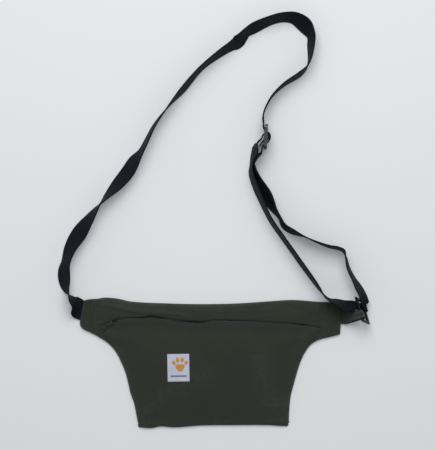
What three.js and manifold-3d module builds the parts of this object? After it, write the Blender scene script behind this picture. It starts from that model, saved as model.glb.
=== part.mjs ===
// A treat pouch on a waist strap, lying on its back: a flat canvas bag with a concealed zip along its
// top, a sewn wing at each end, a webbing strap from the left wing, a tri-glide that sets the strap's
// length, and a rectangular ring on the right wing that the strap doubles back through.
// Millimetres. X runs along the zip, Y towards the top seam, Z out of the front panel.
// The origin is on the back panel's outer face, in the middle between the two wing seams.
import * as THREE from "three";
import { mergeVertices } from "three/addons/utils/BufferGeometryUtils.js";
import Module from "manifold-3d";

// ---- Driving dimensions ----
const CANVAS = 1.2; // canvas thickness
const LINING = 0.5; // lining thickness
const GAP = 0.3; // left between faces that touch
const SEAM_X = 140; // wing seams, either side of the middle
const SEAM_TOP = 4.9; // outer face of the front at its sewn edges
const LINING_DROP = 2; // outer face of the lining below the outer face of the canvas
const ZIP_TOP = 8.7; // outer face of the front along the zip
const BULGE = 8.6; // how far the empty front panel stands up beyond the seam and zip heights
const BAND_BULGE = 1.5; // the same for the upper band
const SIDE_RAMP = 48; // width of the front's rounded shoulder at the sides
const ZIP_RAMP = 10; // the same at the ends of the zip
const FLAT_FROM = 0.93; // share of the front's height above which it lies flat beside the zip

// Sewn edges as the empty pouch lies, from the bottom corner up to the wing seam.
const LEFT_SIDE = [[-88, -79], [-92, -63], [-99, -37], [-104, -15], [-111, 3], [-119, 18], [-129, 28],
  [-SEAM_X + GAP, 34]];
const RIGHT_SIDE = [[97, -77], [99, -60], [102, -38], [107, -18], [113, 2], [120, 16], [129, 26],
  [SEAM_X - GAP, 31.5]];
const TOP_SEAM = [[-SEAM_X, 81.5], [-125, 82.5], [-99, 78.5], [-54, 76], [-12, 75], [33, 75.8],
  [71, 78.2], [98, 80.2], [120, 79.3], [SEAM_X, 77.6]];
const LEFT_WING = [[-140.3, 34.2], [-149, 39], [-158, 43.5], [-162.3, 48.5], [-158.2, 79.6],
  [-140.3, 81.4]];
const RIGHT_WING = [[140.3, 31.7], [148.8, 33.6], [162.4, 37.3], [162.6, 76.3], [140.3, 77.6]];
const WING_FRONT_Z = 3.8; // underside of a wing's front layer
const LINING_INSET = 1.5; // lining edge inside the canvas edge
const LINING_CLEAR = 16; // lining edge short of the zip, below the tape

// The zip is straight. Its frame has X along the teeth and its origin at the closed slider.
const ZIP_ORIGIN = [-118.75, 55];
const ZIP_TURN = THREE.MathUtils.degToRad(-1.48);
const ZIP_SLOT = 3.2; // between the folded edges of the band and the front panel
const ZIP_RAIL_END = 252.4; // far side of the bottom stop
const TEETH_START = -4;
const TEETH_END = 248.5;
const TEETH_PITCH = 3.2;
const TEETH_Z = [3.8, 6.1]; // underside and top of a row
const TAPE_Z = 4.65; // underside of a tape
const TAPE_THICK = 0.6;
const TAPE_START = -13;
const STOP_Z = [3.9, 5.9]; // underside and top of a stop
const SLIDER_LENGTH = 11;
const BRIDGE_LENGTH = 1.3;
const PULL = { z: 9.6, turn: 37, tip: 8, thick: 1 }; // pivot height, turn from the zip and tip, degrees

const LABEL = { x: -39.25, y: -4, width: 27.5, height: 34.5, turn: 0.017, thick: 0.7 };

// Webbing: 25 mm wide, 1.8 mm thick.
const WEB = 25;
const WEB_THICK = 1.8;
const STRAP_LIFT = 0.5; // lowest edge above the surface it lies on

// Strap routes: x, y, roll in degrees (0 lies flat, 90 stands on edge), then where the strap is off
// the surface the height of its middle, and where it is gathered its width.
const MAIN_ROUTE = [[-156.9, 66.9, 0, 2.5], [-162.8, 68.2, 0, 2.5], [-166.8, 72.4, 36, 8],
  [-169.1, 77.8, 66], [-173.6, 83.1, 80], [-177.3, 89.9, 101], [-180.6, 101.2, 123],
  [-181.9, 113.9, 128], [-179.4, 127.8, 117], [-173.7, 145.4, 128], [-163.4, 162.6, 140],
  [-150.5, 180.9, 119], [-142, 193, 103], [-137, 199.5, 94], [-129, 209, 105],
  [-114.8, 224.8, 126], [-102.5, 240, 132], [-95.2, 251.9, 127], [-86.5, 264.3, 107],
  [-78.3, 280.2, 102], [-69, 298.4, 98], [-51.7, 321.8, 90], [-33.4, 342.9, 77],
  [-10.8, 369.2, 80], [13.5, 388.3, 73], [28.4, 398, 65], [34.4, 402.1, 53], [40, 407.5, 61],
  [45.6, 413.7, 68], [54.1, 419, 62], [74.6, 428.5, 67], [90.2, 432.6, 66], [105.3, 431.8, 57],
  [118.2, 423.1, 45], [125.9, 411.1, 67], [126, 398.1, 72], [122.6, 374.2, 89], [113, 362.5, 100],
  [93.1, 349.4, 97], [77.9, 335, 92], [69.4, 320.1, 91, 14], [66.1, 309, 90, 16.4],
  [66.8, 300.9, 90, 16.8]];
const SEWN_ROUTE = [[57.6, 274, 84, 16.8], [56.6, 268, 72, 16.2], [53.6, 259.2, 79],
  [51.5, 248.8, 85], [51.2, 238.6, 80], [56.8, 221, 77], [65.3, 201.2, 79], [75.6, 180.3, 80],
  [89.3, 160.2, 80], [102.2, 142.1, 80], [112.9, 127, 80], [125.5, 109.6, 81], [136.4, 94.4, 85],
  [144.7, 84.2, 93, 15.5], [152.7, 79.9, 101, 18], [161, 76.9, 108, 18.6],
  [170, 73.2, 120, 18.4, 24.5], [178.2, 74.1, 129, 17.7, 16.4], [182.3, 73.7, 136, 15.4, 12.6]];
const RUNNING_ROUTE = [[63.4, 263.6, 86, 16.8], [58.6, 259, 84, 16.5], [55.3, 251.2, 88],
  [55, 242.4, 78], [58.8, 230.8, 68], [65.4, 220.2, 64], [70.2, 211.6, 60], [75.1, 201.6, 64],
  [80.5, 192, 76], [86.8, 183, 84], [92.2, 172.6, 78], [102.2, 165.9, 77], [119.1, 158.8, 90],
  [132.7, 152.8, 88], [148.2, 147.1, 84], [159.6, 144.9, 83], [166.3, 141.7, 84],
  [169.4, 133.6, 94], [172.5, 120.1, 99], [178.6, 107.6, 101], [185.8, 94.8, 110, 13.2],
  [190, 86.6, 114, 15, 22.5], [192.4, 79.6, 124, 15.2, 17], [193.1, 74.9, 134, 13.4, 13.6]];

// Tri-glide: it stands on edge with the strap threaded through it.
const GLIDE = { x: 69.4, y: 283.4, z: 16.8, heading: THREE.MathUtils.degToRad(-93.3), length: 31,
  height: 33, thick: 4, bar: 4, rail: 3.5, corner: 3.5 };
// Routes through the glide, in its own frame: X towards the ring, Y to the right of the strap.
const GLIDE_PASS = [[-16, -3.6], [-12.5, -3.6], [-9.4, -2], [-6.4, 1.4], [-3.9, 4.4], [0, 5.5],
  [3.9, 4.6], [7.1, 1.8], [9.4, -1.9], [12.5, -3.6], [17.2, -4]];
const GLIDE_LOOP = [[7.6, -9.8], [2.2, -5.1], [-1.8, -3.6], [-3.6, -1.8], [-3.5, 1.6], [-1.8, 3.3],
  [1.8, 3.3], [3.5, 1.6], [3.7, -0.9], [6.4, -3.8], [11.6, -6.9]];

// Side ring: the loop holds its upper bar, and the strap goes round its lower bar.
const RING = { x: 186.15, y: 68.75, z: 20.9, width: 34, inner: 27, pitch: 14, bar: 4, thick: 3,
  bevel: 0.7, heading: -74.2, slope: 23.7, roll: -65 };
const RING_WRAP = { centre: -6.6, width: 13, offset: 3.2 };
const RING_LOOP = { centre: 7.4, width: 11.6, flatWidth: 24.5, radius: 3.2, thick: 0.85 };

// ---- Materials ----
const finish = (color, roughness, metalness) => () =>
  new THREE.MeshStandardMaterial({ color, roughness, metalness });
const canvas = finish(0x34372f, 0.9, 0);
const lining = finish(0x3d3f3a, 0.75, 0);
const tape = finish(0x1f201e, 0.85, 0);
const webbing = finish(0x191b1e, 0.8, 0);
const bronze = finish(0x5a5148, 0.35, 0.9);
const plastic = finish(0x202226, 0.4, 0);
const labelWeave = finish(0xc9cdd6, 0.8, 0);

const pouch = new THREE.Group();
const wasm = await Module();
wasm.setup();

// Adds one named piece to a group.
function addPiece(parent, name, geometry, material) {
  const mesh = new THREE.Mesh(geometry, material);
  mesh.name = name;
  parent.add(mesh);
  return mesh;
}

// A block between two corners.
const box = (x0, x1, y0, y1, z0, z1) =>
  new THREE.BoxGeometry(x1 - x0, y1 - y0, z1 - z0).translate((x0 + x1) / 2, (y0 + y1) / 2, (z0 + z1) / 2);

const toVector2 = ([x, y]) => new THREE.Vector2(x, y);

// A smooth edge through a few points, as closely spaced 2-D points.
const smoothEdge = (points, steps) => new THREE.SplineCurve(points.map(toVector2)).getPoints(steps);

// The x of an edge that climbs steadily, at a given y.
function edgeX(edge, y) {
  const next = Math.max(1, edge.findIndex((p) => p.y >= y));
  const [low, high] = [edge[next - 1], edge[next]];
  const held = THREE.MathUtils.clamp(y, low.y, high.y);
  return THREE.MathUtils.mapLinear(held, low.y, high.y, low.x, high.x);
}

// The y of an edge that runs steadily in x, at a given x.
function edgeY(edge, x) {
  const next = Math.max(1, edge.findIndex((p) => p.x >= x));
  const [left, right] = [edge[next - 1], edge[next]];
  const held = THREE.MathUtils.clamp(x, left.x, right.x);
  return THREE.MathUtils.mapLinear(held, left.x, right.x, left.y, right.y);
}

const leftEdge = smoothEdge(LEFT_SIDE, 40);
const rightEdge = smoothEdge(RIGHT_SIDE, 40);
const topEdge = smoothEdge(TOP_SEAM, 40);

// Limits of the pouch body at a height y: the sides curve in to the wing seams and then stay there.
const leftX = (y) => (y >= LEFT_SIDE.at(-1)[1] ? -SEAM_X + GAP : edgeX(leftEdge, y));
const rightX = (y) => (y >= RIGHT_SIDE.at(-1)[1] ? SEAM_X - GAP : edgeX(rightEdge, y));
const [leftCorner, rightCorner] = [LEFT_SIDE[0], RIGHT_SIDE[0]];
const bottomY = (x) =>
  THREE.MathUtils.mapLinear(x, leftCorner[0], rightCorner[0], leftCorner[1], rightCorner[1]);
const zipY = (x) => ZIP_ORIGIN[1] + Math.tan(ZIP_TURN) * (x - ZIP_ORIGIN[0]);

// Height of the front panel's outer face; v runs from the bottom seam to the zip.
function frontTop(x, y) {
  const v = THREE.MathUtils.clamp((y - bottomY(x)) / (zipY(x) - bottomY(x)), 0, 1);
  const ramp = THREE.MathUtils.lerp(SIDE_RAMP, ZIP_RAMP, THREE.MathUtils.smoothstep(v, 0.6, 0.95));
  const side = Math.max(0, Math.min(x - leftX(y), rightX(y) - x));
  const shoulder = Math.sin((Math.PI / 2) * Math.min(1, side / ramp));
  const rise = (ZIP_TOP - SEAM_TOP) * THREE.MathUtils.smoothstep(v, 0, 0.8) +
    BULGE * Math.sin(Math.PI * Math.min(1, v / FLAT_FROM));
  return SEAM_TOP + shoulder * rise;
}

// Height of the upper band's outer face, from the zip up to the top seam.
function bandTop(x, y) {
  const w = THREE.MathUtils.clamp((y - zipY(x)) / (edgeY(topEdge, x) - zipY(x)), 0, 1);
  const side = Math.max(0, Math.min(x - leftX(y), rightX(y) - x));
  const shoulder = Math.sin((Math.PI / 2) * Math.min(1, side / ZIP_RAMP));
  const rise = (ZIP_TOP - SEAM_TOP) * Math.cos((Math.PI / 2) * w) + BAND_BULGE * Math.sin(Math.PI * w);
  return SEAM_TOP + shoulder * rise;
}

// Bends a finely divided box into a sheet: at(u, v) gives the top face, u and v running from 0 to 1.
function bentSheet(at, thick, stepsU, stepsV) {
  const geometry = new THREE.BoxGeometry(1, 1, 1, stepsU, stepsV, 1);
  const place = geometry.attributes.position;
  for (let i = 0; i < place.count; i++) {
    const top = at(place.getX(i) + 0.5, place.getY(i) + 0.5);
    place.setXYZ(i, top.x, top.y, top.z - (place.getZ(i) < 0 ? thick : 0));
  }
  geometry.computeVertexNormals();
  return geometry;
}

// A sheet of the pouch body between two edges, closer spaced towards its sides, set in by a margin.
function bodySheet({ lowY, highY, heightAt, drop, thick, inset, stepsU, stepsV }) {
  const at = (u, v) => {
    const across = (1 - Math.cos(Math.PI * u)) / 2;
    let x = THREE.MathUtils.lerp(-SEAM_X, SEAM_X, across);
    let y = 0;
    for (let pass = 0; pass < 4; pass++) {
      y = THREE.MathUtils.lerp(lowY(x), highY(x), v);
      x = THREE.MathUtils.lerp(leftX(y) + inset, rightX(y) - inset, across);
    }
    return new THREE.Vector3(x, y, heightAt(x, y) - drop);
  };
  return bentSheet(at, thick, stepsU, stepsV);
}

// A shape given a thickness along Z.
const extruded = (shape, depth) => new THREE.ExtrudeGeometry(shape, { depth, bevelEnabled: false });

// A flat piece cut to an outline, lying at a height.
function flatPiece(outline, thick, z) {
  return extruded(new THREE.Shape(outline), thick).translate(0, 0, z);
}

// Outline of the whole pouch body between the wing seams, set in by a margin.
function bodyOutline(inset) {
  const bottom = [[leftCorner[0] + inset, leftCorner[1] + inset],
    [rightCorner[0] - inset, rightCorner[1] + inset]];
  const above = (corner) => (p, i) => i % 4 === 0 && p.y > corner[1] + inset + 1;
  const right = rightEdge.filter(above(rightCorner)).map((p) => [p.x - inset, p.y]);
  const left = leftEdge.filter(above(leftCorner)).map((p) => [p.x + inset, p.y]);
  const top = topEdge.filter((p, i) => i % 2 === 0).map((p) => {
    const x = THREE.MathUtils.clamp(p.x, -SEAM_X + GAP + inset, SEAM_X - GAP - inset);
    return [x, p.y - inset];
  });
  return [...bottom, ...right, ...top.reverse(), ...left.reverse()].map(toVector2);
}

// A smooth path through points in space.
const smoothPath = (points) => new THREE.CatmullRomCurve3(points, false, "centripetal");

// A ribbon: a flat band that follows a path, with its width along a given direction at each step.
function ribbonGeometry(path, widthAt, sizeAt, thick, steps) {
  const geometry = new THREE.BoxGeometry(1, 1, 1, steps, 1, 1);
  const place = geometry.attributes.position;
  for (let i = 0; i < place.count; i++) {
    const t = place.getX(i) + 0.5;
    const tangent = path.getTangent(t);
    const wide = widthAt(t, tangent);
    wide.addScaledVector(tangent, -wide.dot(tangent)).normalize();
    const face = tangent.clone().cross(wide);
    const point = path.getPoint(t)
      .addScaledVector(wide, place.getY(i) * sizeAt(t))
      .addScaledVector(face, place.getZ(i) * thick);
    place.setXYZ(i, point.x, point.y, point.z);
  }
  geometry.computeVertexNormals();
  return geometry;
}

// Reads one column of a route at a position between its rows.
function alongRoute(values, t) {
  const at = t * (values.length - 1);
  const low = Math.min(Math.floor(at), values.length - 2);
  return THREE.MathUtils.lerp(values[low], values[low + 1], at - low);
}

// A strap that lies on the surface: its roll sets how high its middle is, unless the route says.
function laidStrap(route, thick = WEB_THICK, stepsPerRow = 2) {
  const widths = route.map(([, , , , width = WEB]) => width);
  const rolls = route.map(([, , roll]) => THREE.MathUtils.degToRad(roll));
  const points = route.map(([x, y, , z], i) => {
    const lying = STRAP_LIFT + (widths[i] / 2) * Math.abs(Math.sin(rolls[i])) +
      (thick / 2) * Math.abs(Math.cos(rolls[i]));
    return new THREE.Vector3(x, y, z ?? lying);
  });
  const path = smoothPath(points);
  const widthAt = (t, tangent) => {
    const roll = alongRoute(rolls, t);
    const left = new THREE.Vector3(-tangent.y, tangent.x, 0).normalize();
    const up = tangent.clone().cross(left);
    return left.multiplyScalar(Math.cos(roll)).addScaledVector(up, Math.sin(roll));
  };
  const sizeAt = (t) => alongRoute(widths, t);
  return ribbonGeometry(path, widthAt, sizeAt, thick, stepsPerRow * (route.length - 1));
}

// A band threaded round upright bars: a flat path with its width along Z.
function threadedBand(points, width, thick, steps) {
  const path = smoothPath(points.map(([x, y]) => new THREE.Vector3(x, y, 0)));
  return ribbonGeometry(path, () => new THREE.Vector3(0, 0, 1), () => width, thick, steps);
}

// ---- Pouch body ----
function addBody() {
  addPiece(pouch, "back_panel", flatPiece(bodyOutline(0), CANVAS, 0), canvas());
  addPiece(pouch, "lining_back", flatPiece(bodyOutline(LINING_INSET), LINING, CANVAS + GAP), lining());

  const frontEdge = (x) => zipY(x) - ZIP_SLOT / 2;
  const bandEdge = (x) => zipY(x) + ZIP_SLOT / 2;
  const seamEdge = (x) => edgeY(topEdge, x);
  const outer = { drop: 0, thick: CANVAS, inset: 0, stepsU: 30 };
  const inner = { drop: LINING_DROP, thick: LINING, inset: LINING_INSET, stepsU: 24 };
  addPiece(pouch, "front_panel", bodySheet({ ...outer, heightAt: frontTop, lowY: bottomY,
    highY: frontEdge, stepsV: 16 }), canvas());
  addPiece(pouch, "upper_band", bodySheet({ ...outer, heightAt: bandTop, lowY: bandEdge,
    highY: seamEdge, stepsV: 4 }), canvas());
  addPiece(pouch, "lining_front", bodySheet({ ...inner, heightAt: frontTop,
    lowY: (x) => bottomY(x) + LINING_INSET, highY: (x) => zipY(x) - LINING_CLEAR, stepsV: 12 }), lining());
  addPiece(pouch, "lining_upper", bodySheet({ ...inner, heightAt: bandTop,
    lowY: (x) => zipY(x) + LINING_CLEAR, highY: (x) => seamEdge(x) - LINING_INSET, stepsV: 2 }), lining());
}

// ---- Wings: two layers of canvas sewn over the strap's end and over the ring's loop ----
function addWings() {
  for (const [side, outline] of [["left", LEFT_WING], ["right", RIGHT_WING]]) {
    const shape = outline.map(toVector2);
    addPiece(pouch, side + "_wing_back", flatPiece(shape, CANVAS, 0), canvas());
    addPiece(pouch, side + "_wing_front", flatPiece(shape, CANVAS, WING_FRONT_Z), canvas());
  }
  const anchor = laidStrap([[-143, 64.4, 0, 2.5], [-149.5, 65.6, 0, 2.5], [-156, 66.8, 0, 2.5]]);
  addPiece(pouch, "strap_anchor", anchor, webbing());
}

// ---- Zip ----
// One row of teeth: a spine with a tooth at each pitch, reaching towards the other row.
function teethRow(side) {
  const shape = new THREE.Shape().moveTo(TEETH_START, side * 3.1);
  for (let x = TEETH_START; x < TEETH_END - TEETH_PITCH; x += TEETH_PITCH) {
    shape.lineTo(x, side * 0.75).lineTo(x + TEETH_PITCH / 2, side * 0.75);
    shape.lineTo(x + TEETH_PITCH / 2, side * 1.7).lineTo(x + TEETH_PITCH, side * 1.7);
  }
  shape.lineTo(TEETH_END, side * 1.7).lineTo(TEETH_END, side * 3.1);
  return extruded(shape, TEETH_Z[1] - TEETH_Z[0]).translate(0, 0, TEETH_Z[0]);
}

// One tape: a woven strip beside the teeth, under the edge of the canvas.
function zipTape(side) {
  const [near, far] = [side * 3.4, side * 15].sort((p, q) => p - q);
  return box(TAPE_START, ZIP_RAIL_END, near, far, TAPE_Z, TAPE_Z + TAPE_THICK);
}

// Slider: two plates joined by the divider that parts the teeth, with lips that hold the rows in.
function sliderBody() {
  const half = [[4, 2.7], [4, 4.3], [3.4, 4.3], [3.4, 3.5], [0.45, 3.5], [0.45, 6.4], [3.4, 6.4],
    [3.4, 5.6], [4, 5.6], [4, 7.2]];
  const otherHalf = half.map(([across, z]) => [-across, z]).reverse();
  const body = extruded(new THREE.Shape([...half, ...otherHalf].map(toVector2)), SLIDER_LENGTH);
  return body.rotateX(Math.PI / 2).rotateZ(Math.PI / 2).translate(-SLIDER_LENGTH / 2, 0, 0);
}

// Bridge: the bail on top of the slider that the pull tab hangs from.
function sliderBridge() {
  const arch = [[-2.2, 7.5], [-1.3, 7.5], [-1.3, 10.45], [1.3, 10.45], [1.3, 7.5], [2.2, 7.5],
    [2.2, 10.9], [1.7, 11.35], [-1.7, 11.35], [-2.2, 10.9]];
  const bail = extruded(new THREE.Shape(arch.map(toVector2)), BRIDGE_LENGTH);
  return bail.rotateX(Math.PI / 2).translate(0, BRIDGE_LENGTH / 2, 0);
}

// Pull tab: a slim plate whose end bar lies in the bridge, with a window for the bridge to pass through.
function pullTab() {
  const outline = [[0.45, -2.7], [0.45, 2.7], [-4.9, 2.7], [-6.6, 1.6], [-16.4, 1.7], [-17.4, 1],
    [-17.4, -1], [-16.4, -1.7], [-6.6, -1.6], [-4.9, -2.7]];
  const opening = [[-0.45, -1.9], [-0.45, 1.9], [-3.9, 1.9], [-3.9, -1.9]];
  const shape = new THREE.Shape(outline.map(toVector2));
  shape.holes.push(new THREE.Path(opening.map(toVector2)));
  return extruded(shape, PULL.thick).translate(0, 0, -PULL.thick / 2);
}

function addZip() {
  const zip = new THREE.Group();
  zip.position.set(...ZIP_ORIGIN, 0);
  zip.rotation.z = ZIP_TURN;
  pouch.add(zip);
  addPiece(zip, "zip_teeth_upper", teethRow(1), tape());
  addPiece(zip, "zip_teeth_lower", teethRow(-1), tape());
  addPiece(zip, "zip_tape_upper", zipTape(1), tape());
  addPiece(zip, "zip_tape_lower", zipTape(-1), tape());
  addPiece(zip, "zip_top_stop_upper", box(-8.6, -6, 0.9, 3.1, ...STOP_Z), bronze());
  addPiece(zip, "zip_top_stop_lower", box(-8.6, -6, -3.1, -0.9, ...STOP_Z), bronze());
  addPiece(zip, "zip_bottom_stop", box(250, ZIP_RAIL_END, -2.9, 2.9, ...STOP_Z), bronze());
  addPiece(zip, "slider_body", sliderBody(), bronze());
  addPiece(zip, "slider_bridge", sliderBridge(), bronze());
  const tab = addPiece(zip, "pull_tab", pullTab(), bronze());
  tab.position.z = PULL.z;
  tab.rotation.set(0, THREE.MathUtils.degToRad(PULL.tip), THREE.MathUtils.degToRad(PULL.turn), "ZYX");
}

// ---- Label, sewn on the front panel and following its curve ----
function addLabel() {
  const at = (u, v) => {
    const across = (u - 0.5) * LABEL.width;
    const up = (v - 0.5) * LABEL.height;
    const x = LABEL.x + across * Math.cos(LABEL.turn) - up * Math.sin(LABEL.turn);
    const y = LABEL.y + across * Math.sin(LABEL.turn) + up * Math.cos(LABEL.turn);
    return new THREE.Vector3(x, y, frontTop(x, y) + GAP + LABEL.thick);
  };
  addPiece(pouch, "label", bentSheet(at, LABEL.thick, 5, 6), labelWeave());
}

// ---- Strap lying free ----
function addStrap() {
  addPiece(pouch, "strap_main", laidStrap(MAIN_ROUTE), webbing());
  addPiece(pouch, "strap_strand_sewn", laidStrap(SEWN_ROUTE), webbing());
  addPiece(pouch, "strap_strand_running", laidStrap(RUNNING_ROUTE), webbing());
}

// ---- Tri-glide and the webbing threaded through it ----
// A closed geometry as a solid that can be cut.
function toSolid(geometry) {
  const shape = geometry.clone();
  shape.deleteAttribute("normal");
  shape.deleteAttribute("uv");
  const merged = mergeVertices(shape);
  return new wasm.Manifold(new wasm.Mesh({ numProp: 3, vertProperties: merged.attributes.position.array,
    triVerts: new Uint32Array(merged.index.array) }));
}

// One geometry with others cut out of it.
function cut(geometry, tools) {
  const mesh = tools.reduce((solid, tool) => solid.subtract(toSolid(tool)), toSolid(geometry)).getMesh();
  const result = new THREE.BufferGeometry();
  result.setAttribute("position", new THREE.BufferAttribute(mesh.vertProperties, 3));
  result.setIndex(new THREE.BufferAttribute(mesh.triVerts, 1));
  result.computeVertexNormals();
  return result;
}

// A rectangle with round corners, centred on the origin.
function roundedRectangle(width, height, radius) {
  const corners = [[1, -1, -90], [1, 1, 0], [-1, 1, 90], [-1, -1, 180]];
  return corners.flatMap(([sideX, sideY, start]) => [0, 30, 60, 90].map((step) => {
    const turn = THREE.MathUtils.degToRad(start + step);
    return new THREE.Vector2(sideX * (width / 2 - radius) + radius * Math.cos(turn),
      sideY * (height / 2 - radius) + radius * Math.sin(turn));
  }));
}

function glideFrame() {
  const { length, height, thick, bar, rail, corner } = GLIDE;
  const plate = extruded(new THREE.Shape(roundedRectangle(length, height, corner)), thick);
  const slotHalf = (length / 2 - bar - bar / 2) / 2;
  const slots = [-1, 1].map((side) => {
    const middle = side * (bar / 2 + slotHalf);
    return box(middle - slotHalf, middle + slotHalf, rail - height / 2, height / 2 - rail, -1, thick + 1);
  });
  return cut(plate, slots).rotateX(Math.PI / 2).translate(0, thick / 2, 0);
}

function addGlide() {
  const glide = new THREE.Group();
  glide.position.set(GLIDE.x, GLIDE.y, GLIDE.z);
  glide.rotation.z = GLIDE.heading;
  pouch.add(glide);
  addPiece(glide, "tri_glide", glideFrame(), plastic());
  addPiece(glide, "strap_glide_pass", threadedBand(GLIDE_PASS, WEB, WEB_THICK, 24), webbing());
  addPiece(glide, "strap_glide_loop", threadedBand(GLIDE_LOOP, WEB, WEB_THICK, 24), webbing());
}

// ---- Side ring, the webbing round its lower bar, and the fabric loop round its upper bar ----
function ringFrame() {
  const { width, inner, pitch, bar, thick, bevel } = RING;
  const rectangle = (halfWidth, low, high) => [[-halfWidth, low], [halfWidth, low], [halfWidth, high],
    [-halfWidth, high]].map(toVector2);
  const shape = new THREE.Shape(rectangle(width / 2 - bevel, bevel - bar / 2, pitch + bar / 2 - bevel));
  shape.holes.push(new THREE.Path(rectangle(inner / 2 + bevel, bar / 2 - bevel, pitch - bar / 2 + bevel)));
  const frame = new THREE.ExtrudeGeometry(shape, { depth: thick - 2 * bevel, bevelThickness: bevel,
    bevelSize: bevel, bevelSegments: 1 });
  return frame.translate(0, 0, bevel - thick / 2);
}

// The strap round the lower bar, in the ring's frame: X along the bars, Y from bar to bar.
function ringWrap() {
  const { centre, width, offset } = RING_WRAP;
  const points = [[5.5, -offset], [9.5, -offset], [RING.pitch, -offset]];
  for (let angle = -60; angle <= 60; angle += 30) {
    const turn = THREE.MathUtils.degToRad(angle);
    points.push([RING.pitch + offset * Math.cos(turn), offset * Math.sin(turn)]);
  }
  points.push([RING.pitch, offset], [9, offset]);
  const path = smoothPath(points.map(([y, z]) => new THREE.Vector3(centre, y, z)));
  return ribbonGeometry(path, () => new THREE.Vector3(1, 0, 0), () => width, WEB_THICK, 24);
}

function addRing() {
  const ring = new THREE.Group();
  const [roll, slope, heading] = [RING.roll, -RING.slope, RING.heading].map(THREE.MathUtils.degToRad);
  ring.position.set(RING.x, RING.y, RING.z);
  ring.rotation.set(roll, slope, heading, "ZYX");
  pouch.add(ring);
  addPiece(ring, "side_ring", ringFrame(), plastic());
  addPiece(ring, "strap_ring_wrap", ringWrap(), webbing());

  const barFacing = new THREE.Euler(0, slope, heading, "ZYX");
  addPiece(pouch, "ring_loop", fabricLoop(ring.position, barFacing), canvas());
}

// The fabric loop leaves the wing flat, rises to the ring's upper bar, goes round it and comes back
// underneath.
function fabricLoop(barMiddle, barFacing) {
  const [along, out, up] = [[1, 0, 0], [0, 1, 0], [0, 0, 1]]
    .map((axis) => new THREE.Vector3(...axis).applyEuler(barFacing));
  const bar = barMiddle.clone().addScaledVector(along, RING_LOOP.centre);
  const upper = [[144, 62.5, 3.1], [163.5, 62.5, 3.1], [170.5, 62.4, 6.9], [177.5, 62, 14.8]];
  const lower = [[179.6, 60.4, 11.6], [171.4, 61.8, 4.6], [163, 62.5, 1.95], [144, 62.5, 1.95]];
  const round = [135, 90, 45, 0, -45].map((angle) => {
    const turn = THREE.MathUtils.degToRad(angle);
    return bar.clone().addScaledVector(out, RING_LOOP.radius * Math.cos(turn))
      .addScaledVector(up, RING_LOOP.radius * Math.sin(turn));
  });
  const toVector3 = (p) => new THREE.Vector3(...p);
  const path = smoothPath([...upper.map(toVector3), ...round, ...lower.map(toVector3)]);
  // How much the loop has turned from lying flat (0) to lying along the bar (1).
  const turned = (t) => {
    const near = 1 - Math.abs(2 * t - 1);
    return THREE.MathUtils.smoothstep(near, 0.3, 0.62);
  };
  const flat = new THREE.Vector3(0, -1, 0);
  const widthAt = (t) => flat.clone().lerp(along, turned(t));
  const sizeAt = (t) => THREE.MathUtils.lerp(RING_LOOP.flatWidth, RING_LOOP.width, turned(t));
  return ribbonGeometry(path, widthAt, sizeAt, RING_LOOP.thick, 48);
}

addBody();
addWings();
addZip();
addLabel();
addStrap();
addGlide();
addRing();

export default pouch;
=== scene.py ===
import math

import bpy
import numpy as np
from mathutils import Euler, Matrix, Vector, noise
from mathutils.bvhtree import BVHTree


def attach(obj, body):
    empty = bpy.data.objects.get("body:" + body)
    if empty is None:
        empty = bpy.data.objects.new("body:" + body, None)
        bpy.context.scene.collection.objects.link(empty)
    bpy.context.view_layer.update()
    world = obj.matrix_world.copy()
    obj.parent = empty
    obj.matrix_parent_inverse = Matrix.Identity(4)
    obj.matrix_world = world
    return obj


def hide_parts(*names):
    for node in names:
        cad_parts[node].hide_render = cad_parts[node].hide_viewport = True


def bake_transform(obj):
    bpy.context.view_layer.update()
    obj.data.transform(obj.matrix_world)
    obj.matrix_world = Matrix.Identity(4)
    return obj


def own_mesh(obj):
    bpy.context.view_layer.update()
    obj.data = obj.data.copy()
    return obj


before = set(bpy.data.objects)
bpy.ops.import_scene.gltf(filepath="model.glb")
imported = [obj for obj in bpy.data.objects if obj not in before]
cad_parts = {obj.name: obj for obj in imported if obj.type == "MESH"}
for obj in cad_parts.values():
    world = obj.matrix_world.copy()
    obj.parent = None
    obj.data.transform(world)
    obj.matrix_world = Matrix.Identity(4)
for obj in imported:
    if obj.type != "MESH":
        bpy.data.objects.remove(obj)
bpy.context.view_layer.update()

# ---- Camera and floor ----
VIEW_CENTRE = (0.0094, 0.1738)
VIEW_HEIGHT = 0.5625
CAMERA_HEIGHT = 4.0
SENSOR = 36.0

# ---- Canvas body ----
CANVAS = 0.0011  # cloth thickness
SEAM_TOP = 0.0049  # outer face of the front beside its sewn edges
SEAM_LOW = 0.0013  # where front and back meet at a turned edge
ZIP_TOP = 0.0087  # outer face beside the zip
BULGE = 0.0086  # how far the front's crown stands up
BAND_BULGE = 0.0015
FLAT_FROM = 0.93  # the share of the front's height where the crown ends
SIDE_RAMP = 0.048  # how far in from its sides the front rises, low down and beside the zip
ZIP_RAMP = 0.010
EDGE_ROUND = 0.0042  # radius of a turned edge
SEAM_ROUND = 0.0016  # radius beside a seam that lies flat
WING_SEAM_X = 0.1397
WING_INNER_X = 0.1395  # a wing's own edge, just under the body's
WING_SEAMS = ((-WING_SEAM_X, 0.0340, 0.0820), (WING_SEAM_X, 0.0313, 0.0777))
MOUTH_HALF = 0.0010  # from the middle of the mouth to either folded edge
MOUTH_CLOSED = 0.0001  # the same over the ends of the zip
MOUTH_MIDDLE = -0.003
MOUTH_REACH = 0.117  # how far from its middle the mouth stays open
SIDE_STEPS = 160

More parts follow.
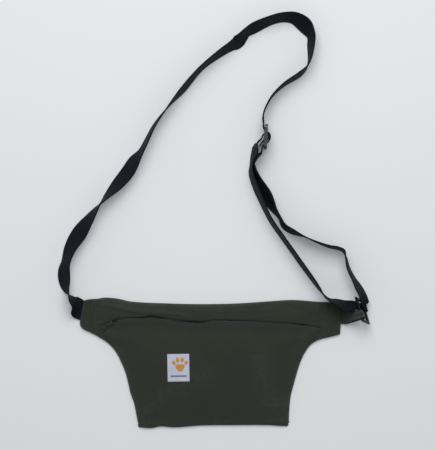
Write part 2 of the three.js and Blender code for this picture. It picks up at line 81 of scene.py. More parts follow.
# Sewn edges, each a few points that a smooth curve goes through.
BOTTOM_SEAM = [(-0.0888, -0.0768), (-0.0868, -0.0786), (-0.0825, -0.0796), (-0.0725, -0.0800),
               (-0.0625, -0.0780), (-0.0450, -0.0791), (-0.0294, -0.0782), (-0.0125, -0.0768),
               (0.0325, -0.0763), (0.0713, -0.0763), (0.0915, -0.0774), (0.0952, -0.0769),
               (0.0973, -0.0750)]
LEFT_SIDE = [(-0.0888, -0.0768), (-0.0896, -0.0745), (-0.0919, -0.0638), (-0.0950, -0.0485),
             (-0.0993, -0.0363), (-0.1025, -0.0225), (-0.1059, -0.0098), (-0.1113, 0.0030),
             (-0.1163, 0.0131), (-0.1238, 0.0228), (-0.1325, 0.0298), (-WING_SEAM_X, 0.0340)]
RIGHT_SIDE = [(0.0973, -0.0750), (0.0983, -0.0722), (0.0988, -0.0613), (0.1009, -0.0400),
              (0.1063, -0.0194), (0.1118, -0.0008), (0.1180, 0.0133), (0.1258, 0.0241),
              (0.1340, 0.0294), (WING_SEAM_X, 0.0313)]
TOP_SEAM = [(-WING_SEAM_X, 0.0818), (-0.1319, 0.0831), (-0.1163, 0.0820), (-0.0988, 0.0783),
            (-0.0538, 0.0759), (-0.0125, 0.0750), (0.0325, 0.0758), (0.0713, 0.0783),
            (0.0975, 0.0801), (0.1113, 0.0799), (0.1338, 0.0780), (WING_SEAM_X, 0.0777)]
MOUTH = [(-WING_SEAM_X, 0.0480), (-0.1365, 0.0488), (-0.1188, 0.0550), (-0.1063, 0.0571),
         (-0.0875, 0.0574), (-0.0763, 0.0591), (-0.0663, 0.0587), (-0.0525, 0.0559),
         (-0.0350, 0.0540), (-0.0138, 0.0527), (0.0088, 0.0543), (0.0325, 0.0540),
         (0.0713, 0.0520), (0.1100, 0.0502), (0.1258, 0.0476), (WING_SEAM_X, 0.0450)]

# Wings: bottom, outer and top edges; the inner edge is the straight wing seam.
LEFT_WING = {
    "bottom": [(-0.1612, 0.0463), (-0.1579, 0.0434), (-0.1493, 0.0393), (-WING_INNER_X, 0.0343)],
    "top": [(-0.1579, 0.0788), (-0.1556, 0.0800), (-0.1488, 0.0812), (-WING_INNER_X, 0.0818)],
    "left": [(-0.1612, 0.0463), (-0.1624, 0.0500), (-0.1613, 0.0588), (-0.1579, 0.0788)],
    "right": [(-WING_INNER_X, 0.0343), (-WING_INNER_X, 0.0818)]}
RIGHT_WING = {
    "bottom": [(WING_INNER_X, 0.0315), (0.1488, 0.0335), (0.1619, 0.0369)],
    "top": [(WING_INNER_X, 0.0777), (0.1525, 0.0774), (0.1620, 0.0763)],
    "left": [(WING_INNER_X, 0.0315), (WING_INNER_X, 0.0777)],
    "right": [(0.1619, 0.0369), (0.1626, 0.0385), (0.1627, 0.0750), (0.1620, 0.0763)]}
WING_TOP = 0.0051
LEFT_OPENING = (0.0520, 0.0830)  # where along its outer edge a wing is open
RIGHT_OPENING = (0.0500, 0.0770)

# Soft folds: height (negative for a hollow), half width, and the line the fold follows.
FRONT_FOLDS = [
    (-0.0009, 0.0028, [(-0.1350, 0.0430), (-0.1265, 0.0320), (-0.1190, 0.0200)]),
    (0.0009, 0.0045, [(-0.1290, 0.0440), (-0.1190, 0.0330), (-0.1120, 0.0160)]),
    (-0.0008, 0.0030, [(0.1350, 0.0390), (0.1250, 0.0310), (0.1180, 0.0200)]),
    (0.0007, 0.0050, [(0.1300, 0.0430), (0.1180, 0.0340), (0.1080, 0.0150)]),
    (-0.0004, 0.0014, [(-0.0535, 0.0505), (-0.0520, 0.0410)]),
    (-0.0004, 0.0014, [(-0.0480, 0.0500), (-0.0455, 0.0395)]),
    (0.0005, 0.0012, [(-0.0800, -0.0735), (0.0000, -0.0712), (0.0900, -0.0712)]),
    (0.0010, 0.0110, [(0.0950, -0.0700), (0.0700, -0.0300), (0.0600, 0.0100)]),
    (0.0010, 0.0120, [(-0.0820, -0.0700), (-0.0600, -0.0400), (-0.0100, -0.0150)]),
    (-0.0008, 0.0100, [(-0.0100, -0.0700), (0.0100, -0.0350), (0.0400, -0.0150)]),
    (0.0006, 0.0060, [(0.0980, -0.0500), (0.0800, -0.0480), (0.0620, -0.0530)])]
BAND_FOLDS = [
    (0.0013, 0.0026, [(-0.1350, 0.0750), (-0.1150, 0.0713), (-0.0925, 0.0669), (-0.0750, 0.0650),
                      (-0.0575, 0.0638), (-0.0375, 0.0619), (-0.0250, 0.0588)]),
    (-0.0008, 0.0030, [(-0.1300, 0.0700), (-0.1080, 0.0640), (-0.0900, 0.0620)]),
    (0.0006, 0.0045, [(0.1320, 0.0700), (0.1050, 0.0630), (0.0700, 0.0590), (0.0300, 0.0590)]),
    (0.0005, 0.0020, [(-0.0200, 0.0668), (0.0300, 0.0672), (0.0750, 0.0685)]),
    (-0.0006, 0.0022, [(0.0950, 0.0720), (0.1200, 0.0660), (0.1360, 0.0560)])]
WING_FOLDS = [
    (-0.0006, 0.0012, [(-0.1508, 0.0420), (-0.1500, 0.0600), (-0.1512, 0.0790)]),
    (0.0005, 0.0015, [(-0.1545, 0.0440), (-0.1540, 0.0780)]),
    (-0.0004, 0.0010, [(0.1500, 0.0360), (0.1502, 0.0760)]),
    (0.0004, 0.0016, [(0.1550, 0.0380), (0.1555, 0.0600), (0.1545, 0.0750)])]

# ---- Label ----
LABEL_CENTRE = (-0.03925, -0.004)
LABEL_SIZE = (0.0275, 0.0345)
LABEL_TURN = 0.017
LABEL_LIFT = 0.0007
PAW_PADS = [((0.0020, 0.0004), (0.0060, 0.0050), 0.0, 0.13),
            ((-0.0056, 0.0062), (0.0022, 0.0030), 0.45, 0.0),
            ((-0.0009, 0.0097), (0.0023, 0.0034), 0.12, 0.0),
            ((0.0049, 0.0097), (0.0023, 0.0034), -0.12, 0.0),
            ((0.0096, 0.0062), (0.0022, 0.0030), -0.45, 0.0)]  # centre, half sizes, turn, lobing
PAW_RISE = 0.00032
BAR_HALF = (0.0100, 0.0009)
BAR_DROP = 0.0103  # from the label's centre down to the bar

# ---- Zip ----
TAPE_EDGES = (0.0034, 0.0150)
TAPE_ENDS = (-0.0130, 0.2524)
TAPE_MIDDLE = 0.00495
TAPE_THICK = 0.0005
ZIP_ORIGIN = np.array([-0.11875, 0.055, 0.0])
ZIP_TURN = math.radians(-1.48)
SEWING_OFFSET = 0.0042  # from the mouth to the stitches beside it

# ---- Webbing ----
WEB = 0.025
WEB_THICK = 0.0018
STRAP_LIFT = 0.0005
STEPS_PER_ROW = 8
LOOP_THICK = 0.0009

# Strap routes, as in the frame: x, y, roll in degrees (0 lies flat, 90 stands on edge), then where
# the strap is off the surface the height of its middle, and where it is gathered its width.
ANCHOR_ROWS = [(-0.1430, 0.0644, 0, 0.0025), (-0.1495, 0.0656, 0, 0.0025)]
MAIN_ROUTE = [
    (-0.1569, 0.0669, 0, 0.0025), (-0.1628, 0.0682, 0, 0.0025), (-0.1668, 0.0724, 36, 0.008),
    (-0.1691, 0.0778, 66), (-0.1736, 0.0831, 80), (-0.1773, 0.0899, 101), (-0.1806, 0.1012, 123),
    (-0.1819, 0.1139, 128), (-0.1794, 0.1278, 117), (-0.1737, 0.1454, 128), (-0.1634, 0.1626, 140),
    (-0.1505, 0.1809, 119), (-0.142, 0.193, 103), (-0.137, 0.1995, 94), (-0.129, 0.209, 105),
    (-0.1148, 0.2248, 126), (-0.1025, 0.24, 132), (-0.0952, 0.2519, 127), (-0.0865, 0.2643, 107),
    (-0.0783, 0.2802, 102), (-0.069, 0.2984, 98), (-0.0517, 0.3218, 90), (-0.0334, 0.3429, 77),
    (-0.0108, 0.3692, 80), (0.0135, 0.3883, 73), (0.0284, 0.398, 65), (0.0344, 0.4021, 53),
    (0.04, 0.4075, 61), (0.0456, 0.4137, 68), (0.0541, 0.419, 62), (0.0746, 0.4285, 67),
    (0.0902, 0.4326, 66), (0.1053, 0.4318, 57), (0.1182, 0.4231, 45), (0.1259, 0.4111, 67),
    (0.126, 0.3981, 72), (0.1226, 0.3742, 89), (0.113, 0.3625, 100), (0.0931, 0.3494, 97),
    (0.0779, 0.335, 92), (0.0694, 0.3201, 91, 0.014), (0.0661, 0.309, 90, 0.0164),
    (0.0668, 0.3009, 90, 0.0168),
]
SEWN_ROUTE = [
    (0.0576, 0.274, 84, 0.0168), (0.0566, 0.268, 72, 0.0162), (0.0536, 0.2592, 79),
    (0.0515, 0.2488, 85), (0.0512, 0.2386, 80), (0.0568, 0.221, 77), (0.0653, 0.2012, 79),
    (0.0756, 0.1803, 80), (0.0893, 0.1602, 80), (0.1022, 0.1421, 80), (0.1129, 0.127, 80),
    (0.1255, 0.1096, 81), (0.1364, 0.0944, 85), (0.1447, 0.0842, 93, 0.0155),
    (0.1527, 0.0799, 101, 0.018), (0.161, 0.0769, 108, 0.0186), (0.17, 0.0732, 120, 0.0184, 0.0245),
    (0.1782, 0.0741, 129, 0.0177, 0.0164), (0.1823, 0.0737, 136, 0.0154, 0.0126),
]
RUNNING_ROUTE = [
    (0.0634, 0.2636, 86, 0.0168), (0.0586, 0.259, 84, 0.0165), (0.0553, 0.2512, 88),
    (0.055, 0.2424, 78), (0.0588, 0.2308, 68), (0.0654, 0.2202, 64), (0.0702, 0.2116, 60),
    (0.0751, 0.2016, 64), (0.0805, 0.192, 76), (0.0868, 0.183, 84), (0.0922, 0.1726, 78),
    (0.1022, 0.1659, 77), (0.1191, 0.1588, 90), (0.1327, 0.1528, 88), (0.1482, 0.1471, 84),
    (0.1596, 0.1449, 83), (0.1663, 0.1417, 84), (0.1694, 0.1336, 94), (0.1725, 0.1201, 99),
    (0.1786, 0.1076, 101), (0.1858, 0.0948, 110, 0.0132), (0.19, 0.0866, 114, 0.015, 0.0225),
    (0.1924, 0.0796, 124, 0.0152, 0.017), (0.1931, 0.0749, 134, 0.0134, 0.0136),
]
MAIN_SPLIT = 31  # the row where the strap's piece towards the tri-glide starts
SEWN_SPLIT = 13  # the rows where the strands' pieces towards the ring start
RUNNING_SPLIT = 19
PLEATS = 4
PLEAT_DEPTH = 0.0012

# Routes through the tri-glide, in its own plane: towards the ring, and to the strap's right.
GLIDE_PASS = [(-0.0160, -0.0036), (-0.0125, -0.0036), (-0.0094, -0.0020), (-0.0064, 0.0014),
              (-0.0039, 0.0044), (0.0, 0.0055), (0.0039, 0.0046), (0.0071, 0.0018),
              (0.0094, -0.0019), (0.0125, -0.0036), (0.0172, -0.0040)]
GLIDE_LOOP = [(0.0076, -0.0098), (0.0022, -0.0051), (-0.0018, -0.0036), (-0.0036, -0.0018),
              (-0.0035, 0.0016), (-0.0018, 0.0033), (0.0018, 0.0033), (0.0035, 0.0016),
              (0.0037, -0.0009), (0.0064, -0.0038), (0.0116, -0.0069)]

# Tri-glide: it stands on edge, heading towards the ring.
GLIDE_CENTRE = np.array([0.0694, 0.2834, 0.0168])
GLIDE_HEADING = math.radians(-93.3)
GLIDE_AHEAD = np.array([math.cos(GLIDE_HEADING), math.sin(GLIDE_HEADING), 0.0])
GLIDE_ACROSS = np.array([-math.sin(GLIDE_HEADING), math.cos(GLIDE_HEADING), 0.0])

# Side ring: the strap goes round its lower bar, and the fabric loop holds its upper bar.
RING_CENTRE = np.array([0.18615, 0.06875, 0.0209])
RING_PITCH = 0.014
RING_HEADING, RING_SLOPE, RING_ROLL = (math.radians(turn) for turn in (-74.2, -23.7, -65))
RING_WRAP = {"centre": -0.0066, "width": 0.013, "offset": 0.0032}
RING_LOOP = {"centre": 0.0074, "width": 0.0116, "flat_width": 0.0245, "radius": 0.0032}
LOOP_UPPER = [(0.1440, 0.0625, 0.0031), (0.1635, 0.0625, 0.0031), (0.1705, 0.0624, 0.0069),
              (0.1775, 0.0620, 0.0148)]
LOOP_LOWER = [(0.1796, 0.0604, 0.0116), (0.1714, 0.0618, 0.0046), (0.1630, 0.0625, 0.00195),
              (0.1440, 0.0625, 0.00195)]

# ---- Canvas edges, seams and linings ----
EDGE_STEPS = [0.0, 0.0001, 0.0004, 0.0009, 0.0016, 0.0025, 0.0036]  # rows of points beside an edge
WING_ROUND = 0.0030
WING_MOUTH = 0.0040  # height of a wing's outer edge over the strap or the loop
SEAM_GROOVE = 0.0006
SEAM_RISE = 0.0008  # how far the wing seams draw the back up
MOUTH_DEPTH = 0.0018
MOUTH_ROUND = 0.0014
LINING_DROP = 0.0020
LINING_THICK = 0.0004
WING_ROWS = [(-0.1430, 0.0380, 0.0805), (-0.1462, 0.0395, 0.0800), (0.1428, 0.0335, 0.0765),
             (0.1452, 0.0340, 0.0765), (0.1598, 0.0375, 0.0755)]
FRONT_LINING = [[(-0.0855, -0.0740), (0.0, -0.0740), (0.0935, -0.0740)],
                [(-0.1080, 0.0380), (0.0, 0.0370), (0.1080, 0.0340)]]
BAND_LINING = [[(-0.1340, 0.0700), (0.0, 0.0665), (0.1340, 0.0650)],
               [(-0.1340, 0.0780), (0.0, 0.0715), (0.1340, 0.0745)]]
BACK_LINING = [[(-0.0850, -0.0730), (0.0, -0.0730), (0.0930, -0.0730)],
               [(-0.1050, 0.0400), (0.0, 0.0700), (0.1050, 0.0400)]]

# ---- Colours, in linear light ----
CANVAS_COLOUR = (0.0245, 0.0265, 0.0182)
# Paler canvas: for worn turned edges and seams, and for painted highlight on raised folds.
CANVAS_WORN_AND_LIT = (0.075, 0.078, 0.066)
WEBBING_COLOUR = (0.0068, 0.0095, 0.0130)
LINING_COLOUR = (0.045, 0.048, 0.042)
TAPE_COLOUR = (0.014, 0.015, 0.014)
TEETH_COLOUR = (0.012, 0.013, 0.012)
BRONZE_COLOUR = (0.027, 0.022, 0.017)
PLASTIC_COLOUR = (0.0045, 0.0052, 0.0066)
LABEL_COLOUR = (0.510, 0.520, 0.610)
LABEL_GREY = (0.160, 0.150, 0.190)
ORANGE = (0.560, 0.250, 0.050)
THREAD_COLOUR = (0.022, 0.024, 0.019)
FLOOR_COLOUR = (0.62, 0.62, 0.62)
FLOOR_GLOW = (0.120, 0.124, 0.128)  # lightens the shadows, as thick white pile does
WEAVE_PITCH = 0.0007
RIB_PITCH = 0.0022
SELVAGE = 0.0113  # from the middle of the webbing to its plain edge

# ---- Light ----
FLOOR_DROP = -0.0002
SKY_COLOUR = (0.90, 0.95, 1.0)
SKY_STRENGTH = 0.45
KEY_POWER = 20.5
KEY_SIZE = 1.1
KEY_COLOUR = (0.97, 0.98, 1.0)
KEY_PLACE = (0.02, 1.0, 1.4)


# ---- Mesh helpers ----
def mesh_object(name, points, faces, uv=None):
    """A smooth-shaded mesh object from points, faces and, for each point, a place in the weave."""
    mesh = bpy.data.meshes.new(name)
    mesh.from_pydata([tuple(p) for p in points], [], [tuple(int(i) for i in f) for f in faces])
    mesh.polygons.foreach_set("use_smooth", [True] * len(mesh.polygons))
    if uv is not None:
        layer = mesh.uv_layers.new(name="weave")
        corners = np.array([loop.vertex_index for loop in mesh.loops])
        layer.data.foreach_set("uv", np.asarray(uv, float)[corners].ravel())
    mesh.update()
    made = bpy.data.objects.new(name, mesh)
    bpy.context.scene.collection.objects.link(made)
    return made


def grid_faces(rows, columns, flip=False):
    """Faces of a grid of points stored row by row."""
    index = np.arange(rows * columns).reshape(rows, columns)
    a, b, c, d = index[:-1, :-1], index[:-1, 1:], index[1:, 1:], index[1:, :-1]
    ordered = (a, d, c, b) if flip else (a, b, c, d)
    return np.stack([part.ravel() for part in ordered], axis=1)


def unit(vectors):
    """Vectors at length one."""
    return vectors / np.linalg.norm(vectors, axis=-1, keepdims=True)


def smoothstep(values):
    """An eased step from 0 to 1."""
    share = np.clip(values, 0, 1)
    return share * share * (3 - 2 * share)


def along_rows(rows, at):
    """Rows whose first numbers are a place, read at fractional row numbers on a smooth curve."""
    rows = np.asarray(rows, float)
    padded = np.vstack([2 * rows[0] - rows[1], rows, 2 * rows[-1] - rows[-2]])
    gaps = np.sqrt(np.linalg.norm(np.diff(padded[:, :3], axis=0), axis=1))
    low = np.minimum(np.asarray(at).astype(int), len(rows) - 2)
    share = (at - low)[:, None]
    before, start, end, after = (padded[low + k] for k in range(4))
    gap_in, gap, gap_out = (gaps[low + k][:, None] for k in range(3))
    leave = ((start - before) / gap_in - (end - before) / (gap_in + gap) + (end - start) / gap) * gap
    reach = ((end - start) / gap - (after - start) / (gap + gap_out) + (after - end) / gap_out) * gap
    return (start + leave * share + (3 * (end - start) - 2 * leave - reach) * share ** 2
            + (2 * (start - end) + leave + reach) * share ** 3)


def smooth_line(points, count):
    """A smooth curve through 2-D or 3-D points, as evenly spaced points."""
    rows = np.asarray(points, float)
    flat = rows.shape[1] == 2
    if flat:
        rows = np.column_stack([rows, np.zeros(len(rows))])
    fine = along_rows(rows, np.linspace(0, len(rows) - 1, 40 * len(rows)))
    line = even(fine, count)
    return line[:, :2] if flat else line


def even(line, count):
    """A line again, with evenly spaced points."""
    travelled = np.concatenate([[0], np.cumsum(np.linalg.norm(np.diff(line, axis=0), axis=1))])
    at = np.linspace(0, travelled[-1], count)
    return np.stack([np.interp(at, travelled, line[:, k]) for k in range(line.shape[1])], axis=1)


def joined(*lines):
    """Several lines end to end as one."""
    return np.vstack([lines[0], *[line[1:] for line in lines[1:]]])


def length_of(line):
    """The length of a line through its points."""
    return float(np.linalg.norm(np.diff(line, axis=0), axis=1).sum())


def distance_to(places, line):
    """How far each 2-D place is from a line through points."""
    best = np.full(len(places), np.inf)
    for start, end in zip(line[:-1], line[1:]):
        step = end - start
        share = np.clip((places - start) @ step / max(step @ step, 1e-15), 0, 1)
        best = np.minimum(best, np.linalg.norm(places - start - share[:, None] * step, axis=1))
    return best


def soft_noise(places, size, seed):
    """Smooth noise from -1 to 1 over 2-D places, with features of about that size."""
    return np.array([noise.noise(Vector((x / size, y / size, seed))) for x, y in places])


# ---- Ribbons: webbing, tapes and the fabric loop ----
def section(steps):
    """The outline of a ribbon's cross section: across from -0.5 to 0.5 and through from -1 to 1."""
    across = np.linspace(-0.485, 0.485, steps)
    round_edge = [(0.497, 0.6), (0.5, 0.0), (0.497, -0.6)]
    top = [(a, 1.0) for a in across]
    bottom = [(a, -1.0) for a in across[::-1]]
    return np.array(top + round_edge + bottom + [(-a, t) for a, t in round_edge[::-1]])


class Band:
    """A flat band: its middles, width directions, facings and widths, and how far along each is."""

    def __init__(self, centres, wides, widths):
        tangents = unit(np.gradient(centres, axis=0))
        self.centres = centres
        self.wides = unit(wides - tangents * (wides * tangents).sum(1, keepdims=True))
        self.facings = np.cross(tangents, self.wides)
        self.widths = widths
        steps = np.linalg.norm(np.diff(centres, axis=0), axis=1)
        self.travelled = np.concatenate([[0], np.cumsum(steps)])

    def build(self, name, thick, first=0, last=None, pleats=0, pleat_depth=0.0, across=WEB):
        """The band between two of its middles as an object. Its place in the weave is its UV, and
        across is the width of the cloth, however it is gathered."""
        part = slice(first, None if last is None else last + 1)
        centres, wides, facings = self.centres[part], self.wides[part], self.facings[part]
        widths = self.widths[part]
        edge = section(33 if pleats else 15)
        gathered = np.clip(1 - widths / across, 0, 1)[:, None]
        folded = pleat_depth * np.sin(2 * math.pi * pleats * edge[:, 0])[None] * gathered
        lift = edge[:, 1] * thick / 2 + folded
        points = (centres[:, None] + wides[:, None] * (edge[:, 0] * widths[:, None])[..., None]
                  + facings[:, None] * lift[..., None])
        rings, around = points.shape[:2]
        index = np.arange(rings * around).reshape(rings, around)
        beside = np.roll(index, -1, axis=1)
        sides = np.stack([index[:-1], beside[:-1], beside[1:], index[1:]], axis=-1)
        uv = np.empty((rings, around, 2))
        uv[..., 0] = edge[:, 0] * across
        uv[..., 1] = self.travelled[part][:, None]
        faces = [*sides.reshape(-1, 4), index[0][::-1], index[-1]]
        made = mesh_object(name, points.reshape(-1, 3), faces, uv.reshape(-1, 2))
        made.data.set_sharp_from_angle(angle=math.radians(60))
        return made


def laid_rows(route):
    """A strap's middle, width direction and width at each row of a route. Where the route doesn't
    say how high the strap is, its roll does: its lower edge is just off the floor."""
    rows = []
    for x, y, roll, *more in route:
        width = more[1] if len(more) > 1 else WEB
        turn = math.radians(roll)
        lying = STRAP_LIFT + width / 2 * abs(math.sin(turn)) + WEB_THICK / 2 * abs(math.cos(turn))
        rows.append((x, y, more[0] if more else lying, turn, width))
    table = np.array(rows)
    tangents = unit(np.gradient(table[:, :3], axis=0))
    left = unit(np.column_stack([-tangents[:, 1], tangents[:, 0], np.zeros(len(table))]))
    turns = table[:, 3:4]
    wides = left * np.cos(turns) + np.cross(tangents, left) * np.sin(turns)
    return np.column_stack([table[:, :3], wides, table[:, 4]])


def glide_rows(route):
    """The same for the strap threaded through the tri-glide."""
    return np.array([(*(GLIDE_CENTRE + x * GLIDE_AHEAD + y * GLIDE_ACROSS), 0, 0, 1, WEB)
                     for x, y in route])


def ring_rows():
    """The same for the strap doubled round the ring's lower bar, from its outer side."""
    turn = Euler((RING_ROLL, RING_SLOPE, RING_HEADING), "XYZ").to_matrix()
    along, ahead, out = (np.array(turn.col[k]) for k in range(3))
    offset = RING_WRAP["offset"]
    flat = [(0.0095, offset), (RING_PITCH, offset)]
    for angle in range(60, -61, -30):
        turn = math.radians(angle)
        flat.append((RING_PITCH + offset * math.cos(turn), offset * math.sin(turn)))
    flat += [(RING_PITCH, -offset), (0.0095, -offset), (0.0055, -offset)]
    middle = RING_CENTRE + RING_WRAP["centre"] * along
    return np.array([(*(middle + y * ahead + z * out), *along, RING_WRAP["width"]) for y, z in flat])


def whole_strap():
    """The strap's one length of webbing from the left wing to its sewn end, and the number of its
    middle where each part starts."""
    parts = {"run": laid_rows(ANCHOR_ROWS + MAIN_ROUTE), "pass": glide_rows(GLIDE_PASS),
             "running": laid_rows(RUNNING_ROUTE), "wrap": ring_rows(),
             "sewn": laid_rows(SEWN_ROUTE)[::-1], "loop": glide_rows(GLIDE_LOOP)}
    rows = np.vstack(list(parts.values()))
    for before, row in zip(rows[:-1], rows[1:]):
        if before[3:6] @ row[3:6] < 0:
            row[3:6] *= -1
    table = along_rows(rows, np.linspace(0, len(rows) - 1, STEPS_PER_ROW * (len(rows) - 1) + 1))
    starts, row_count = {}, 0
    for name, part in parts.items():
        starts[name] = row_count * STEPS_PER_ROW
        row_count += len(part)
    return Band(table[:, :3], table[:, 3:6], table[:, 6]), starts


def free_strap(band, first, last):
    """Reads the length of a strap piece along its middle, from one end of it to the other, and does
    nothing with it.
    """
    middle = band.centres[first:last + 1]
    length_of(middle)


def make_straps():
    """The strap in pieces: those that stay with the pouch, move with the tri-glide or turn with the
    ring, and those that lie between one and another."""
    strap, starts = whole_strap()
    follow = starts["run"] + (len(ANCHOR_ROWS) + MAIN_SPLIT) * STEPS_PER_ROW
    running_split = starts["running"] + RUNNING_SPLIT * STEPS_PER_ROW
    sewn_split = starts["sewn"] + (len(SEWN_ROUTE) - 1 - SEWN_SPLIT) * STEPS_PER_ROW
    sewn_top = starts["loop"] - STEPS_PER_ROW
    ring_side = starts["sewn"]
    glide_side = starts["pass"] - STEPS_PER_ROW

    def piece(name, first, last, node=None, pleats=0):
        made = strap.build(name, WEB_THICK, first, last, pleats, PLEAT_DEPTH)
        if node:
            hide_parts(*node)
        return made

    def place(middle):
        return tuple(strap.centres[middle])

    run = piece("strap_run", 0, follow, ["strap_main", "strap_anchor"])
    run_end = piece("strap_run_end", follow, glide_side)
    glide_pass = piece("strap_through_glide", glide_side, starts["running"], ["strap_glide_pass"])
    running = piece("strap_running", starts["running"], running_split, ["strap_strand_running"])
    running_end = piece("strap_running_end", running_split, starts["wrap"], pleats=PLEATS)
    wrap = piece("strap_round_ring", starts["wrap"], ring_side, ["strap_ring_wrap"], PLEATS)
    sewn_end = piece("strap_sewn_end", ring_side, sewn_split, pleats=PLEATS)
    sewn = piece("strap_sewn", sewn_split, sewn_top, ["strap_strand_sewn"])
    loop = piece("strap_glide_end", sewn_top, None, ["strap_glide_loop"])

    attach(run, "pouch")
    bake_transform(run_end)
    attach(glide_pass, "glide")
    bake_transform(running)
    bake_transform(running_end)
    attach(wrap, "ring")
    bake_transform(sewn_end)
    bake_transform(sewn)
    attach(loop, "glide")

    free_strap(strap, 0, follow)
    free_strap(strap, follow, glide_side)
    free_strap(strap, starts["running"], running_split)
    free_strap(strap, sewn_split, sewn_top)
    return [run, run_end, glide_pass, running, running_end, wrap, sewn_end, sewn, loop]


def fabric_loop():
    """The canvas loop from the right wing up to the ring's upper bar, round it and back."""
    facing = Euler((0, RING_SLOPE, RING_HEADING), "XYZ").to_matrix()
    along, out, up = (np.array(facing.col[k]) for k in range(3))
    bar = RING_CENTRE + RING_LOOP["centre"] * along
    rows = [np.array(p) for p in LOOP_UPPER]
    for angle in (135, 90, 45, 0, -45):
        turn = math.radians(angle)
        rows.append(bar + RING_LOOP["radius"] * (math.cos(turn) * out + math.sin(turn) * up))
    rows += [np.array(p) for p in LOOP_LOWER]
    at = np.linspace(0, 1, 97)
    centres = along_rows(rows, at * (len(rows) - 1))
    gathered = smoothstep((1 - np.abs(2 * at - 1) - 0.3) / 0.32)[:, None]
    wides = np.array([0.0, -1.0, 0.0]) * (1 - gathered) + along * gathered
    flat_width = RING_LOOP["flat_width"]
    widths = flat_width + (RING_LOOP["width"] - flat_width) * gathered[:, 0]
    made = Band(centres, wides, widths).build(
        "fabric_loop", LOOP_THICK, pleats=2, pleat_depth=PLEAT_DEPTH, across=flat_width)
    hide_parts("ring_loop")
    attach(made, "pouch")
    return made


# ---- Canvas panels ----
def read_edge(line, shares):
    """Places at shares from 0 to 1 along an edge."""
    at = np.linspace(0, 1, len(line))
    return np.stack([np.interp(shares, at, line[:, k]) for k in (0, 1)], axis=-1)


def shares_over(length, count):
    """Shares from 0 to 1 over a length, close together at both ends, where the cloth turns."""
    steps = np.array(EDGE_STEPS) / length
    middle = np.linspace(steps[-1], 1 - steps[-1], count)
    return np.concatenate([steps[:-1], middle, 1 - steps[:-1][::-1]])


class Panel:
    """One layer of canvas between four edges: its places, and its shares across and up."""

    def __init__(self, bottom, right, top, left, spacing):
        edges = [even(np.asarray(edge, float), 400) for edge in (bottom, right, top, left)]
        self.bottom, self.right, self.top, self.left = edges
        wide = max(length_of(self.bottom), length_of(self.top))
        high = max(length_of(self.left), length_of(self.right))
        self.across = shares_over(wide, max(3, round(wide / spacing)))
        self.up = shares_over(high, max(3, round(high / spacing)))
        u, v = self.across[None, :, None], self.up[:, None, None]
        low, top_line = read_edge(self.bottom, self.across), read_edge(self.top, self.across)
        left_line, right_line = (read_edge(edge, self.up)[:, None] for edge in (self.left, self.right))
        sides = (1 - u) * left_line + u * right_line
        ends = (1 - v) * low[None] + v * top_line[None]
        corners = ((1 - u) * (1 - v) * low[0] + u * (1 - v) * low[-1]
                   + (1 - u) * v * top_line[0] + u * v * top_line[-1])
        grid = sides + ends - corners
        self.shape = grid.shape[:2]
        self.places = grid.reshape(-1, 2)
        self.u = np.tile(self.across, (self.shape[0], 1)).ravel()
        self.v = np.repeat(self.up, self.shape[1])

    def build(self, name, heights, wear_and_highlight, flip=False, thick=CANVAS):
        """The layer as an object, with its outer face at those heights."""
        points = np.column_stack([self.places, heights])
        made = mesh_object(name, points, grid_faces(*self.shape, flip), self.places)
        # A share of paler canvas at each point: worn edges and seams, and on the front, band and wings
        # painted highlight on raised folds.
        spread = made.data.attributes.new("wear_and_highlight", "FLOAT", "POINT")
        spread.data.foreach_set("value", np.clip(wear_and_highlight, 0, 1).astype(np.float32))
        return thickened(made, thick)


def thickened(layer, thick):
    """Gives a layer a thickness, inwards from its outer face."""
    shell = layer.modifiers.new("thickness", "SOLIDIFY")
    shell.thickness = thick
    shell.offset = -1
    return layer


def rounded(distance, radius):
    """0 at an edge and 1 from a radius away, along a quarter circle."""
    left = 1 - np.clip(distance / radius, 0, 1)
    return np.sqrt(1 - left ** 2)


def folds_at(places, folds):
    """The height of a set of soft folds at each place."""
    total = np.zeros(len(places))
    for height, half, line in folds:
        total += height * np.exp(-(distance_to(places, smooth_line(line, 24)) / half) ** 2)
    return total


def rumple(places, seed):
    """Slight unevenness of cloth that has been used."""
    broad = 0.00045 * soft_noise(places, 0.032, seed)
    return broad + 0.00016 * soft_noise(places, 0.011, seed + 7)


def outline(top_left, top_right):
    """The pouch's bottom, left and right edges, up to given heights on the wing seams, and the edge
    that is sewn and turned: all of them up to the wings."""
    bottom = smooth_line(BOTTOM_SEAM, 300)
    left = joined(smooth_line(LEFT_SIDE, SIDE_STEPS), [(0, 0), (-WING_SEAM_X, top_left)])
    right = joined(smooth_line(RIGHT_SIDE, SIDE_STEPS), [(0, 0), (WING_SEAM_X, top_right)])
    return bottom, left, right, joined(left[:SIDE_STEPS][::-1], bottom, right[:SIDE_STEPS])


def seam_distance(places):
    """How far each place is from the nearer wing seam."""
    return np.minimum(*(distance_to(places, np.array([(x, low), (x, high)]))
                        for x, low, high in WING_SEAMS))


def dip_at(distance, depth, radius):
    """How far cloth dips towards an edge or a seam, at each distance from it."""
    return depth * (1 - rounded(distance, radius))


def wear_and_highlight_at(from_turned, from_seam, folds):
    """How worn the cloth is: most at its turned edges, then at the seams. The folds add painted
    highlight: paler on raised folds, less pale in hollows.
    """
    # Painted highlight: the folds term lightens the cloth by the height of its folds.
    return 0.9 * np.exp(-from_turned / 0.0025) + 0.5 * np.exp(-from_seam / 0.0015) + folds * 350


def mouth_edge(side):
    """The folded edge above (1) or below (-1) the mouth. The two close over the zip's ends."""
    mouth = smooth_line(MOUTH, 300)
    closed = smoothstep((np.abs(mouth[:, 0] - MOUTH_MIDDLE) - MOUTH_REACH) / 0.008)
    mouth[:, 1] += side * (MOUTH_HALF + (MOUTH_CLOSED - MOUTH_HALF) * closed)
    return mouth


